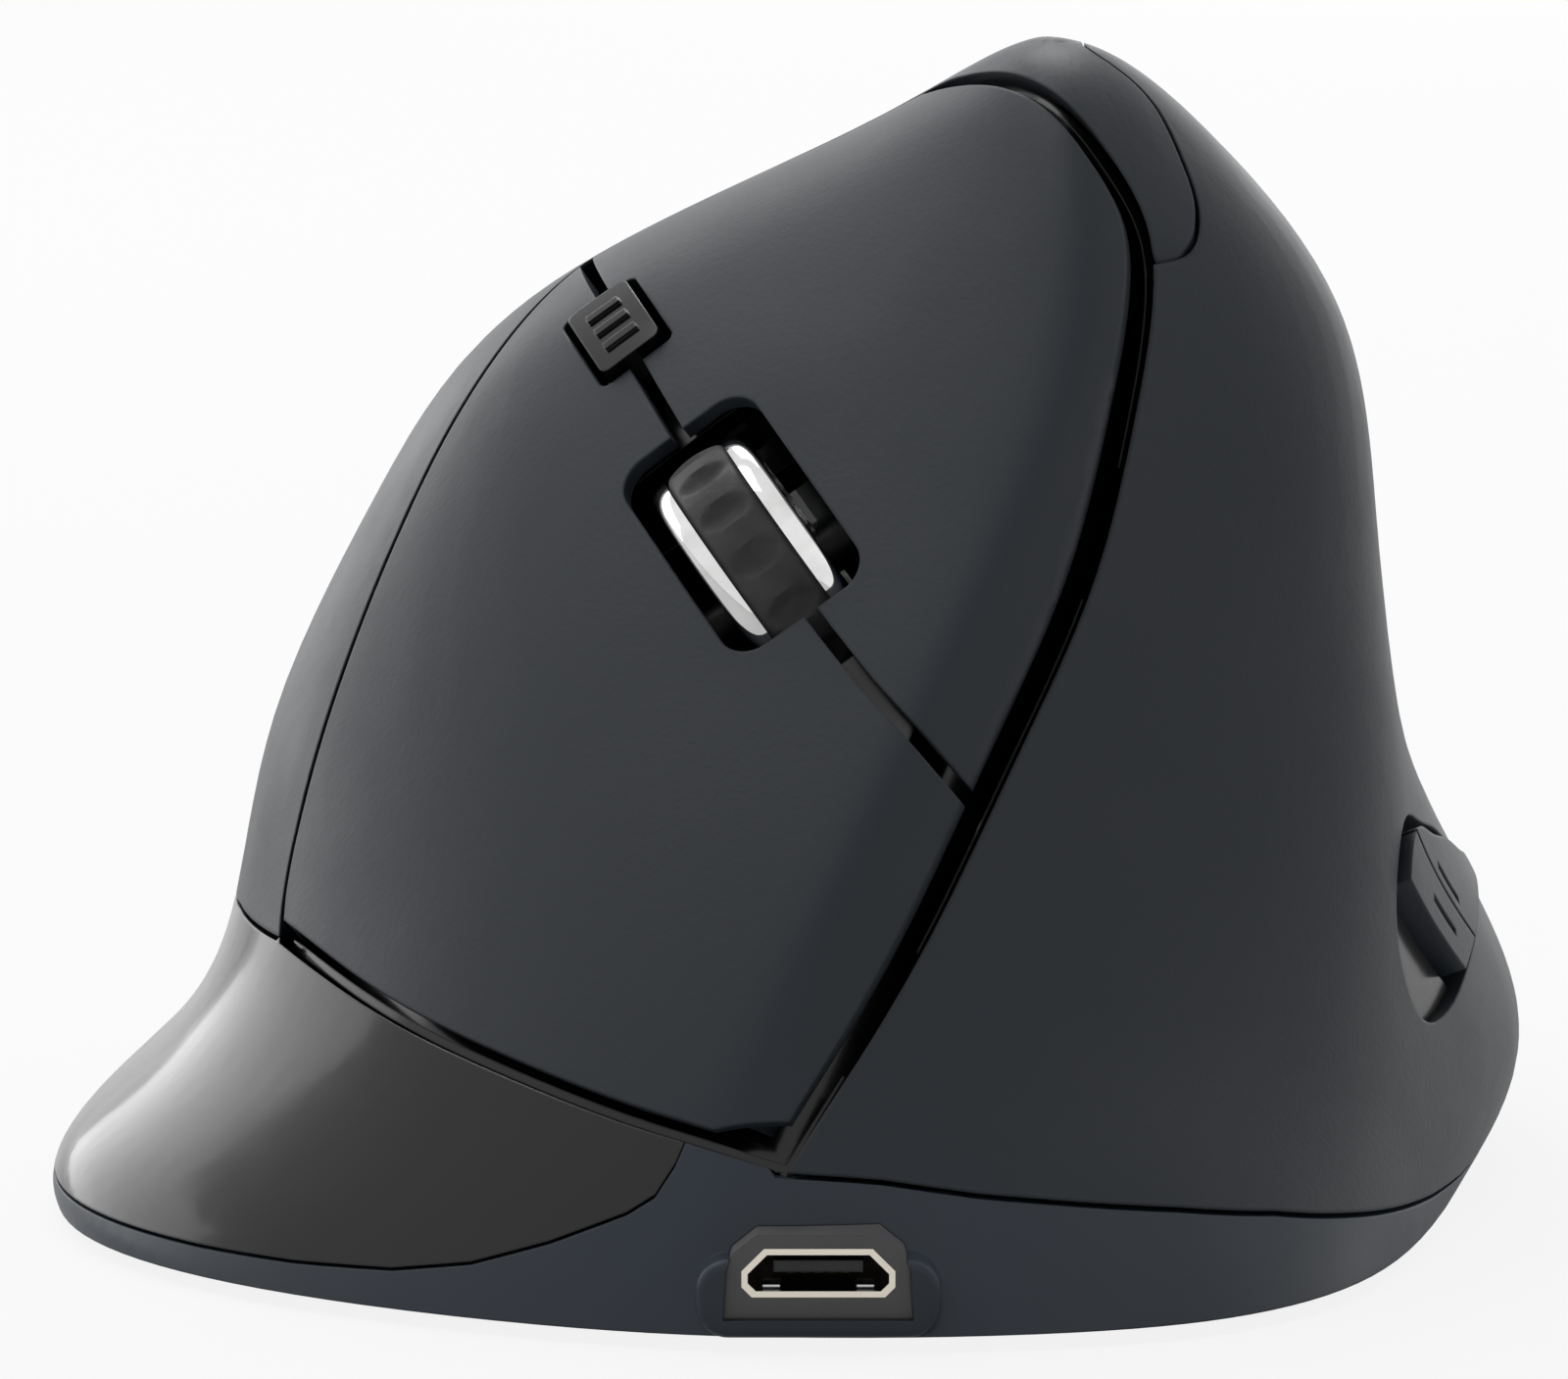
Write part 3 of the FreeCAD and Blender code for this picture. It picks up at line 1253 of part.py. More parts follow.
def make_hinge_pins():
    """The two pins that the keys turn on."""
    for label, near, far in (("middle_hinge_pin", FRAME_EARS[0], FRAME_EARS[1]),
                             ("index_hinge_pin", 3.6, FRAME_EARS[3])):
        start = near - EAR_WIDTH / 2 if near < 3 else near
        pin = new_body(label, moved(KEYS, hinge_x, 0, hinge_z))
        end = far + EAR_WIDTH / 2
        revolve(pin, [(0.0, start), ("Dim.hinge_pin_radius", start), ("Dim.hinge_pin_radius", end),
                      (0.0, end)])


make_base_shell()
make_covers()
make_finger_lip()
make_key_frame()
make_keys()
make_dpi_button()
make_thumb_buttons()
make_side_bezel()
make_wheel()
make_carrier()
make_switches()
make_boards()
make_port()
make_power()
make_sensor()
make_underside()
make_hinge_pins()

doc.recompute()
for item in doc.Objects:
    if "Invalid" in item.State or "Error" in item.State:
        raise RuntimeError(item.Name + " did not compute")
for piece in parts:
    shape = piece.Shape
    if shape.isNull() or not shape.isValid() or not shape.Solids:
        raise RuntimeError(piece.Label + " has no valid shape")
os.makedirs("parts", exist_ok=True)
for piece in parts:
    piece.Shape.exportStep("parts/" + piece.Label + ".step")
print(len(parts), "pieces written")
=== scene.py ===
# %% [markdown]
# # An upright mouse, dressed for the camera
# The solids of the mouse are already right: where its keys, wheel, covers and port lie was settled
# in the CAD model. What is left for Blender is what the eye meets first: the feel of the lacquer,
# the gloss of the finger lip, the soft rubber of the wheel and the light that tells them apart.
# The first cell loads the imported model.

# %% Load the imported model
import json
import math

import bmesh
import bpy
from mathutils import Matrix, Vector

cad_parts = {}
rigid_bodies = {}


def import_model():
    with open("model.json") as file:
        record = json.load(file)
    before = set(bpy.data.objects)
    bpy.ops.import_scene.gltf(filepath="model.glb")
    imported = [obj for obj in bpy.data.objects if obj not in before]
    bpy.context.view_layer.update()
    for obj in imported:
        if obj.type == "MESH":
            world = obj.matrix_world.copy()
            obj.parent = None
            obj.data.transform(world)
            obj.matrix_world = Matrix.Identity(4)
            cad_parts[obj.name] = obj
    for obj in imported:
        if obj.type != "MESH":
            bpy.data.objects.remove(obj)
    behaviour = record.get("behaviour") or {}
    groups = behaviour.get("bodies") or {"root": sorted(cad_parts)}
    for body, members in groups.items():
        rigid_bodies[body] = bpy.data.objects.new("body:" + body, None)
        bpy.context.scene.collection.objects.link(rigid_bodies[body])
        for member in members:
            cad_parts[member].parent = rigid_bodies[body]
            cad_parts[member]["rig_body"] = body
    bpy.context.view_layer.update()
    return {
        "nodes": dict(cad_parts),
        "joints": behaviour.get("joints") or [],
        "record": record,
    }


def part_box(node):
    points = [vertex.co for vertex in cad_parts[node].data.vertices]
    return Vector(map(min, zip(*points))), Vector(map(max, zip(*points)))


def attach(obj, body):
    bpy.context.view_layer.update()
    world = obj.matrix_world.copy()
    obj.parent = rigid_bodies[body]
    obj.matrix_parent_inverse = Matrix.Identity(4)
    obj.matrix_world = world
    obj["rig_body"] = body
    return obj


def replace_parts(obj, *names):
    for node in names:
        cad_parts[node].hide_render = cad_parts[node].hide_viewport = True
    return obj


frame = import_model()
nodes = frame["nodes"]
slots = {part["node"]: part["material_slot"] for part in frame["record"]["subparts"]}
MM = 0.001

# %% [markdown]
# ## One helper for nodes, one for colours
# A material is a small graph. Writing each node out takes four or five lines, so one function adds
# a node, sets its properties and links its inputs. Colours are easier to judge as the hex values
# that a colour picker shows, and Blender wants linear light, so a second function translates.

# %% Helpers for materials
def linear(code):
    """A hex colour as the linear numbers that a shader takes."""
    channels = [int(code[start:start + 2], 16) / 255 for start in (0, 2, 4)]
    values = [c / 12.92 if c <= 0.04045 else ((c + 0.055) / 1.055) ** 2.4 for c in channels]
    return (*values, 1.0)


def add(tree, kind, values=None, links=None, **settings):
    """Adds a node, sets its properties and values, and links its inputs to other nodes."""
    made = tree.nodes.new(kind)
    for name, setting in settings.items():
        setattr(made, name, setting)
    for socket, value in (values or {}).items():
        made.inputs[socket].default_value = value
    for socket, (source, output) in (links or {}).items():
        tree.links.new(source.outputs[output], made.inputs[socket])
    return made


def new_material(name, colour, roughness, **sockets):
    """A Principled material with its plain values set on the shader itself."""
    material = bpy.data.materials.new(name)
    material.use_nodes = True
    shader = material.node_tree.nodes["Principled BSDF"]
    shader.inputs["Base Color"].default_value = linear(colour)
    shader.inputs["Roughness"].default_value = roughness
    for socket, value in sockets.items():
        shader.inputs[socket.replace("_", " ")].default_value = value
    return material


# %% [markdown]
# ## Patterns with a size in millimetres
# Moulded plastic is never one flat colour. Up close it has a grain from the tool, and over the
# width of a hand the lacquer is a little uneven. Both are noise, read at the piece's own
# coordinates, so a pattern's scale is simply one over the size of its grain in metres.

# %% Grain, clouding and uneven gloss
def place_on(tree):
    """The coordinates of the piece itself, in metres."""
    found = tree.nodes.get("Place")
    return found or add(tree, "ShaderNodeTexCoord", name="Place")


def noise(tree, grain_mm, detail=2.0):
    """Soft random spots of a given width."""
    return add(tree, "ShaderNodeTexNoise", {"Scale": 1 / (grain_mm * MM), "Detail": detail},
               {"Vector": (place_on(tree), "Object")})


def grain(material, grain_mm, depth_mm, strength=1.0, edge_mm=0.15):
    """A fine relief, as the tool left it, and edges that are a little round to the light."""
    tree = material.node_tree
    relief = noise(tree, grain_mm)
    edge = add(tree, "ShaderNodeBevel", {"Radius": edge_mm * MM}, samples=4)
    bump = add(tree, "ShaderNodeBump", {"Strength": strength, "Distance": depth_mm * MM},
               {"Height": (relief, "Fac"), "Normal": (edge, "Normal")})
    tree.links.new(bump.outputs["Normal"], tree.nodes["Principled BSDF"].inputs["Normal"])


def cloud(material, low, high, patch_mm):
    """Two near colours that drift into each other over a patch's width."""
    tree = material.node_tree
    drift = noise(tree, patch_mm, detail=3.0)
    blend = add(tree, "ShaderNodeMix", links={"Factor": (drift, "Fac")}, data_type="RGBA")
    blend.inputs[6].default_value = linear(low)
    blend.inputs[7].default_value = linear(high)
    tree.links.new(blend.outputs[2], tree.nodes["Principled BSDF"].inputs["Base Color"])


def uneven_gloss(material, low, high, patch_mm, detail=4.0):
    """Roughness that wanders between two values, as handled surfaces have."""
    tree = material.node_tree
    drift = noise(tree, patch_mm, detail)
    spread = add(tree, "ShaderNodeMapRange", {"From Min": 0.3, "From Max": 0.7,
                                              "To Min": low, "To Max": high},
                 {"Value": (drift, "Fac")})
    tree.links.new(spread.outputs["Result"], tree.nodes["Principled BSDF"].inputs["Roughness"])


# %% [markdown]
# ## Soft-touch lacquer
# The covers and keys are ABS with a sprayed polyurethane lacquer that feels like rubber. It is
# nearly matt, but it catches pale light where the surface turns away, which is why the outline of
# such a mouse always looks frosted. A little sheen does that better than lowering the roughness.

# %% Soft-touch lacquer
def make_soft_touch():
    material = new_material("soft_touch_lacquer", "2A2F36", 0.5, Sheen_Weight=0.04,
                            Sheen_Roughness=0.35, Specular_IOR_Level=0.28)
    material.node_tree.nodes["Principled BSDF"].inputs["Sheen Tint"].default_value = \
        linear("DCE3EA")
    cloud(material, "282D34", "2C3239", 22.0)
    uneven_gloss(material, 0.4, 0.48, 9.0)
    # The real grain is near 0.1 mm; it is drawn at 0.35 mm so that it shows from a step away.
    grain(material, 0.35, 0.02, 0.7, edge_mm=0.25)
    return material


soft_touch = make_soft_touch()

# %% [markdown]
# ## Moulded base
# The base is the same ABS without lacquer, with the fine sparkle of a spark-eroded tool. It is a
# shade bluer and a little shinier than the covers.

# %% Spark-eroded ABS
def make_base_plastic():
    material = new_material("spark_textured_abs", "2B333C", 0.4, Specular_IOR_Level=0.33)
    cloud(material, "2B333D", "313A45", 15.0)
    uneven_gloss(material, 0.34, 0.44, 6.0)
    grain(material, 0.3, 0.01, 0.5)
    return material


base_plastic = make_base_plastic()

# %% [markdown]
# ## Piano gloss
# The finger lip, the frame that shows in the gaps and the pocket behind the thumb buttons are
# polished black ABS. Almost everything seen in it is a reflection, so its colour is nearly black
# and its finish is a thin clear coat, with the faint waviness that polished mouldings have.

# %% Polished ABS
def make_piano_gloss():
    material = new_material("polished_black_abs", "0F1011", 0.16, Coat_Weight=0.15,
                            Coat_Roughness=0.06, Specular_IOR_Level=0.3)
    uneven_gloss(material, 0.12, 0.2, 12.0)
    grain(material, 9.0, 0.02, 0.25)
    return material


piano_gloss = make_piano_gloss()

# %% [markdown]
# ## Wheel
# The tyre is a thermoplastic elastomer: dark, matt, and polished in places by the finger. The two
# rings beside it are chrome-plated plastic, which is smooth enough to mirror the studio.

# %% Elastomer and chrome plate
def make_tyre_rubber():
    material = new_material("wheel_elastomer", "3A3A3B", 0.62, Specular_IOR_Level=0.25)
    cloud(material, "2C2C2D", "5A5A5B", 1.6)
    uneven_gloss(material, 0.45, 0.75, 1.8)
    grain(material, 0.25, 0.03, 0.8)
    return material


def make_chrome_plate():
    material = new_material("chrome_plate", "E4E5E7", 0.07, Metallic=1.0)
    cloud(material, "B4B3B2", "FAFAFA", 2.2)
    uneven_gloss(material, 0.05, 0.14, 3.0)
    return material


tyre_rubber = make_tyre_rubber()
chrome_plate = make_chrome_plate()

# %% [markdown]
# ## Metals
# Screws and pins are drawn and turned steel, whose fine marks spread a reflection. The wheel's
# axle is painted near black as painted shade, so that nothing glints in the wheel's slot. The
# charging port's shell is nickel-plated sheet, a touch warmer, with painted shade inside its fold,
# and the contacts have a thin flash of gold, painted dark brown as the shade of the port.

# %% Steel, nickel and gold
# The port's shell is bright only on the cut edge of its sheet, at the mouth; elsewhere its nickel
# is painted near black, as painted shade.
MOUTH_EDGE = 0.3 * MM


def make_turned_steel():
    material = new_material("turned_steel", "BFC1C4", 0.3, Metallic=1.0)
    uneven_gloss(material, 0.22, 0.38, 0.8)
    return material


# Painted shade: the axle is steel painted near black, so that it stays dark in the wheel's slot.
def make_axle_painted_shade():
    material = new_material("axle_painted_shade", "141415", 0.5, Specular_IOR_Level=0.3)
    uneven_gloss(material, 0.42, 0.58, 0.8)
    return material


def make_nickel_with_painted_shade():
    """Bright on the sheet's cut edge at the mouth, painted near black inside the fold as painted
    shade.
    """
    material = new_material("nickel_with_painted_shade", "E6DFD2", 0.2, Metallic=1.0)
    uneven_gloss(material, 0.15, 0.3, 1.2)
    tree = material.node_tree
    facing = add(tree, "ShaderNodeSeparateXYZ", links={"Vector": (place_on(tree), "Normal")})
    outward = add(tree, "ShaderNodeMapRange", {"From Min": -0.5, "From Max": -0.8},
                  {"Value": (facing, "Y")})
    spot = add(tree, "ShaderNodeSeparateXYZ", links={"Vector": (place_on(tree), "Object")})
    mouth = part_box("port_shell")[0].y
    near = add(tree, "ShaderNodeMapRange", {"From Min": mouth + 2 * MOUTH_EDGE,
                                            "From Max": mouth + MOUTH_EDGE},
               {"Value": (spot, "Y")})
    unshaded_rim = add(tree, "ShaderNodeMath", operation="MULTIPLY",
              links={0: (outward, "Result"), 1: (near, "Result")})
    blend = add(tree, "ShaderNodeMix", links={"Factor": (unshaded_rim, 0)}, data_type="RGBA")
    # Painted shade: away from the cut edge at the mouth, the nickel is painted near black.
    blend.inputs[6].default_value = linear("24211E")
    blend.inputs[7].default_value = linear("F2EADC")
    tree.links.new(blend.outputs[2], tree.nodes["Principled BSDF"].inputs["Base Color"])
    return material


# Painted shade: the gold is painted dark brown, as the shade inside the port.
def make_contact_gold_painted_shade():
    material = new_material("contact_gold_painted_shade", "6E6146", 0.3, Metallic=1.0)
    uneven_gloss(material, 0.2, 0.32, 0.6)
    return material


turned_steel = make_turned_steel()
axle_painted_shade = make_axle_painted_shade()
nickel_with_painted_shade = make_nickel_with_painted_shade()
contact_gold_painted_shade = make_contact_gold_painted_shade()

# %% [markdown]
# ## Working plastics
# Inside and below are the plain materials of every small device: black PBT switch cases, a grey
# port surround, white-grey acetal for what slides, slick PTFE pads, lacquered glass-fibre boards, a
# film-wrapped cell and a clear acrylic lens.

# %% Switch cases, port surround, acetal and pads
def make_working_plastic(name, low, high, roughness, grain_mm=0.3):
    material = new_material(name, low, roughness)
    cloud(material, low, high, 4.0)
    uneven_gloss(material, roughness - 0.06, roughness + 0.06, 2.0)
    grain(material, grain_mm, 0.01, 0.5)
    return material


switch_pbt = make_working_plastic("switch_pbt", "1D1E20", "242527", 0.45)
port_surround = make_working_plastic("port_surround_abs", "5A5A5C", "646363", 0.42)
acetal = make_working_plastic("natural_acetal", "8E9092", "9A9C9E", 0.35)
slide_ptfe = make_working_plastic("slide_pad_ptfe", "3A3A3C", "444446", 0.3)


# %% Boards, cell and lens
def make_board_lacquer():
    """Green solder mask over woven glass: the weave is 0.5 mm."""
    material = new_material("board_solder_mask", "14502F", 0.28, Coat_Weight=0.3)
    cloud(material, "124A2B", "175A36", 1.0)
    grain(material, 0.5, 0.01, 0.4)
    return material


def make_cell_film():
    material = new_material("cell_film", "2A4E86", 0.3, Coat_Weight=0.4)
    cloud(material, "264979", "2E5592", 8.0)
    uneven_gloss(material, 0.22, 0.36, 3.0)
    return material


def make_lens_acrylic():
    material = new_material("lens_acrylic", "E8EEF0", 0.05, Transmission_Weight=1.0, IOR=1.49)
    uneven_gloss(material, 0.03, 0.08, 2.0)
    return material


board_lacquer = make_board_lacquer()
cell_film = make_cell_film()
lens_acrylic = make_lens_acrylic()

finishes = {
    "soft_black": soft_touch, "gloss_black": piano_gloss, "base_black": base_plastic,
    "dark_rubber": tyre_rubber, "bright_ring": chrome_plate, "steel": turned_steel,
    "grey_plastic": acetal, "switch_black": switch_pbt, "board_green": board_lacquer,
    "clear_lens": lens_acrylic, "cell_blue": cell_film, "slick_grey": slide_ptfe,
}
own_finishes = {"port_shell": nickel_with_painted_shade, "port_bezel": port_surround,
                "wheel_axle": axle_painted_shade}
print("finishes:", len(finishes) + len(own_finishes))

# %% [markdown]
# ## Smooth skins for the curved pieces
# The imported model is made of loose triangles, so its curves would catch the light facet by facet.
# Its meshes aren't to be touched, so each curved piece gets a copy whose corners are merged. Faces
# are shaded smooth, and only edges sharper than a set angle stay crisp. The copy then stands for
# the node. Flat blocks, such as the boards and the switches, need none of this.

# %% Merge and smooth a copy
SHARP = math.radians(32)
# Only corners at the very same place are merged: a wider reach would tear the finest slivers.
SAME_PLACE = 0.000002 * MM


def link(piece, material, body):
    """Puts a finished piece in the scene, on the body that carries it."""
    bpy.context.scene.collection.objects.link(piece)
    piece.data.materials.clear()
    piece.data.materials.append(material)
    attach(piece, body)
    return piece


def merged_copy(node):
    """A node's triangles as one connected bmesh."""
    work = bmesh.new()
    work.from_mesh(nodes[node].data)
    bmesh.ops.remove_doubles(work, verts=work.verts, dist=SAME_PLACE)
    return work


def to_piece(work, name, material, body):
    """Turns a bmesh into an object with smooth faces and crisp corners."""
    for face in work.faces:
        face.smooth = True
    for edge in work.edges:
        edge.smooth = len(edge.link_faces) == 2 and edge.calc_face_angle(0.0) < SHARP
    mesh = bpy.data.meshes.new(name)
    work.to_mesh(mesh)
    work.free()
    stale = mesh.attributes.get("custom_normal")
    if stale:
        mesh.attributes.remove(stale)
    return link(bpy.data.objects.new(name, mesh), material, body)


def even_out(piece):
    """Weighs each corner's shading by the size of the faces round it."""
    weigh = piece.modifiers.new("even shading", "WEIGHTED_NORMAL")
    weigh.mode = "FACE_AREA_WITH_ANGLE"
    weigh.keep_sharp = True


# %% Skins for the covers, keys, lip and buttons
CURVED = [
    "base_shell", "thumb_cover", "palm_cover", "finger_lip", "key_frame", "side_bezel",
    "index_key", "middle_key", "dpi_button", "forward_button", "back_button",
    "wheel_hub", "wheel_axle",
    "foot_front_left", "foot_front_right", "foot_rear_left", "foot_rear_right",
    "case_screw_1", "case_screw_2", "case_screw_3", "case_screw_4", "battery", "sensor_lens",
]
for node in CURVED:
    material = own_finishes.get(node, finishes[slots[node]])
    skin = to_piece(merged_copy(node), node + "_skin", material, nodes[node]["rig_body"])
    even_out(skin)
    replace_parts(skin, node)
WHEEL_NODES = ["wheel_tyre", "wheel_ring_left", "wheel_ring_right"]
for node, cad in nodes.items():
    if node not in CURVED + WHEEL_NODES:
        cad.data.materials.clear()
        cad.data.materials.append(own_finishes.get(node, finishes[slots[node]]))
print("smooth skins:", len(CURVED), "plain nodes:",
      len(nodes) - len(CURVED) - len(WHEEL_NODES))

# %% [markdown]
# ## The wheel's tyre
# A mouse wheel's tyre is moulded with a crowned tread, so that the finger rolls over it, and a row
# of oval dents to grip. A box-shaped cut would look machined. Here a crowned profile is spun round
# the wheel's axle, and each ring of corners is then pressed in by an oval dent that is deepest in
# its middle, which gives the soft crescents of shade that the real one shows.

# %% Where the wheel turns
wheel_joint = next(joint for joint in frame["joints"] if joint["name"] == "wheel_spin")
WHEEL_CENTRE = Vector(wheel_joint["pos_m"])
WHEEL_AXIS = Vector(wheel_joint["axis"]).normalized()
wheel_turn = WHEEL_AXIS.to_track_quat("Y", "Z").to_matrix().to_4x4()
WHEEL_PLACE = Matrix.Translation(WHEEL_CENTRE) @ wheel_turn


def wheel_reach(node):
    """A node's largest radius and its two ends along the axle."""
    into_wheel = WHEEL_PLACE.inverted()
    points = [into_wheel @ vertex.co for vertex in nodes[node].data.vertices]
    radius = max(math.hypot(point.x, point.z) for point in points)
    return radius, min(point.y for point in points), max(point.y for point in points)


def spun(profile, steps):
    """A closed ring: a loop of radius and height points turned about the axle."""
    work = bmesh.new()
    corners = [work.verts.new((radius, along, 0)) for radius, along in profile]
    loop = [work.edges.new((corners[index - 1], corner)) for index, corner in enumerate(corners)]
    bmesh.ops.spin(work, geom=corners + loop, cent=(0, 0, 0), axis=(0, 1, 0),
                   angle=2 * math.pi, steps=steps, use_merge=True)
    bmesh.ops.remove_doubles(work, verts=work.verts, dist=0.001 * MM)
    bmesh.ops.recalc_face_normals(work, faces=work.faces)
    return work


# %% Crowned tyre with oval dents
tyre_radius, tyre_left, tyre_right = wheel_reach("wheel_tyre")
TYRE_BORE = 1.8 * MM
TREAD_COUNT = 16
DENT_REACH = 0.85 * MM
DENT_HALF_WIDTH = 1.45 * MM
DENT_DEPTH = 0.5 * MM
CROWN = 0.35 * MM
SHOULDER = 0.35 * MM
# A high power keeps the tread level up to a narrow, rounded shoulder.
SHOULDER_POWER = 14
ACROSS_STEPS = 26
STEPS_PER_DENT = 14
# Corners this far under the shoulders belong to the bore, which has no dents.
BORE_MARGIN = 0.01 * MM
RING_LAP = 0.25 * MM
half_tyre = (tyre_right - tyre_left) / 2 - RING_LAP
tyre_middle = (tyre_right + tyre_left) / 2


def crown_radius(across):
    """The tread's radius at a share of its half width: highest in the middle."""
    return tyre_radius - CROWN * across ** 2 - SHOULDER * abs(across) ** SHOULDER_POWER


# The sine crowds the steps together at the shoulders, where the line bends most.
shares = [math.sin(math.pi / 2 * (2 * step / ACROSS_STEPS - 1)) for step in range(ACROSS_STEPS + 1)]
tread_line = [(crown_radius(across), tyre_middle + across * half_tyre) for across in shares]
inner_line = [(tyre_radius - TYRE_BORE, tyre_right), (tyre_radius - TYRE_BORE, tyre_left)]
tyre = spun(tread_line + inner_line, TREAD_COUNT * STEPS_PER_DENT)
for vertex in tyre.verts:
    radius = math.hypot(vertex.co.x, vertex.co.z)
    if radius < tyre_radius - CROWN - SHOULDER - BORE_MARGIN:
        continue
    angle = math.atan2(vertex.co.z, vertex.co.x) * TREAD_COUNT / (2 * math.pi)
    from_dent = (angle - round(angle)) * 2 * math.pi / TREAD_COUNT * tyre_radius
    oval = (from_dent / DENT_REACH) ** 2 + ((vertex.co.y - tyre_middle) / DENT_HALF_WIDTH) ** 2
    press = DENT_DEPTH * max(0.0, 1 - oval) ** 0.8
    vertex.co.x *= 1 - press / radius
    vertex.co.z *= 1 - press / radius
bmesh.ops.transform(tyre, matrix=WHEEL_PLACE, verts=tyre.verts)
print("tyre in mm:", round(tyre_radius / MM, 2), round(2 * half_tyre / MM, 2))
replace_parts(to_piece(tyre, "wheel_tyre_crowned", tyre_rubber, "wheel"),
            "wheel_tyre")

# %% [markdown]
# ## The bright rings
# Each ring is a narrow band of chrome-plated plastic whose outer corner is well rounded, so it
# draws the studio as one bright stroke. The round is a quarter of an oval, spun like the tyre. It
# laps a little over the tyre's edge, because a ring clips the rubber in on the real wheel.

# %% Rounded rings
RING_BORE = 1.6 * MM
RING_DROP = 0.75 * MM
ROUND_STEPS = 12
RING_STEPS = 160
for node in ("wheel_ring_left", "wheel_ring_right"):
    ring_radius, ring_left, ring_right = wheel_reach(node)
    if node.endswith("left"):
        inner, outer = ring_right + RING_LAP, ring_left
    else:
        inner, outer = ring_left - RING_LAP, ring_right
    profile = [(ring_radius - RING_BORE, inner)]
    for step in range(ROUND_STEPS + 1):
        turn = math.pi / 2 * step / ROUND_STEPS
        profile.append((ring_radius - RING_DROP * (1 - math.cos(turn)),
                        inner + (outer - inner) * math.sin(turn)))
    profile.append((ring_radius - RING_BORE, outer))
    ring = spun(profile, RING_STEPS)
    bmesh.ops.transform(ring, matrix=WHEEL_PLACE, verts=ring.verts)
    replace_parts(to_piece(ring, node + "_rounded", chrome_plate, "wheel"), node)
print("ring in mm:", round(ring_radius / MM, 2), round(abs(outer - inner) / MM, 2))

# %% [markdown]
# ## Inside the charging port
# The port's shell is a frame of folded sheet. Two things in it catch the eye from the front: the
# row of contacts under the tongue and the two spring tabs on the floor of the shell, which hold a
# plug. Each is a small block with its edges eased, so that it takes a highlight.

# %% A block with eased edges
def eased_block(low, high, ease):
    """A bmesh box between two corners, with small round edges."""
    work = bmesh.new()
    bmesh.ops.create_cube(work, size=1.0)
    span = [high[axis] - low[axis] for axis in range(3)]
    middle = [(high[axis] + low[axis]) / 2 for axis in range(3)]
    bmesh.ops.scale(work, vec=span, verts=work.verts)
    bmesh.ops.translate(work, vec=middle, verts=work.verts)
    bmesh.ops.bevel(work, geom=work.edges, offset=ease, segments=2, profile=0.5,
                    affect="EDGES", material=-1)
    return work


tongue_low, tongue_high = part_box("port_tongue")
CONTACTS = 5
CONTACT_WIDTH = 0.4 * MM
CONTACT_PITCH = 0.65 * MM
CONTACT_DEPTH = 0.08 * MM
CONTACT_INSET = 0.25 * MM
CONTACT_EASE = 0.02 * MM
tongue_middle = (tongue_low.x + tongue_high.x) / 2
for index in range(CONTACTS):
    x = tongue_middle + (index - (CONTACTS - 1) / 2) * CONTACT_PITCH
    contact = eased_block((x - CONTACT_WIDTH / 2, tongue_low.y + CONTACT_INSET,
                           tongue_low.z - CONTACT_DEPTH),
                          (x + CONTACT_WIDTH / 2, tongue_high.y, tongue_low.z), CONTACT_EASE)
    to_piece(contact, f"port_contact_{index + 1}", contact_gold_painted_shade, "case")

# %% Spring tabs in the port
shell_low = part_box("port_shell")[0]
SHEET = 0.3 * MM
TAB_REACH = 2.3 * MM
TAB_WIDTH = 0.9 * MM
TAB_HEIGHT = 0.22 * MM
TAB_START = 0.6 * MM
TAB_END = 2.2 * MM
TAB_EASE = 0.08 * MM
for name, side in (("left", -1), ("right", 1)):
    x = tongue_middle + side * TAB_REACH
    tab = eased_block((x - TAB_WIDTH / 2, shell_low.y + TAB_START, shell_low.z + SHEET),
                      (x + TAB_WIDTH / 2, shell_low.y + TAB_END,
                       shell_low.z + SHEET + TAB_HEIGHT), TAB_EASE)
    to_piece(tab, f"port_tab_{name}", turned_steel, "case")

# %% [markdown]
# ## Recesses in the screw heads
# Four countersunk screws hold the base. Each has a cross recess, which is too fine for the solids.
# Two thin dark bars just under the head's face are painted shade for the recess, and read as the
# recess from any distance.

# %% Cross recesses as painted shade
CROSS_REACH = 1.1 * MM
CROSS_WIDTH = 0.45 * MM
CROSS_DEPTH = 0.04 * MM
CROSS_SINK = 0.02 * MM
CROSS_EASE = 0.01 * MM
for number in range(1, 5):
    low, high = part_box(f"case_screw_{number}")
    x, y = (low.x + high.x) / 2, (low.y + high.y) / 2
    cross = bmesh.new()
    for turn in (0, 1):
        reach = (CROSS_REACH, CROSS_WIDTH / 2) if turn else (CROSS_WIDTH / 2, CROSS_REACH)
        bar = eased_block((x - reach[0], y - reach[1], low.z - CROSS_DEPTH),
                          (x + reach[0], y + reach[1], low.z + CROSS_SINK), CROSS_EASE)
        bar_mesh = bpy.data.meshes.new("bar")
        bar.to_mesh(bar_mesh)
        bar.free()
        cross.from_mesh(bar_mesh)
        bpy.data.meshes.remove(bar_mesh)
    # The bars take the dark switch plastic as painted shade of the recess.
    to_piece(cross, f"screw_recess_shade_{number}", switch_pbt, "case")

# %% [markdown]
# ## Floor and light
# The mouse was photographed in a white tent: light wraps round from the sides and from behind, the
# floor throws some back up, and the side towards the camera is the darkest. The world does most of
# that, as a soft gradient from a dim front to a bright back. A gloss sees the same white as the
# camera does, so metal looks like metal. Four soft lamps, from above, the left and behind, light
# the rims.

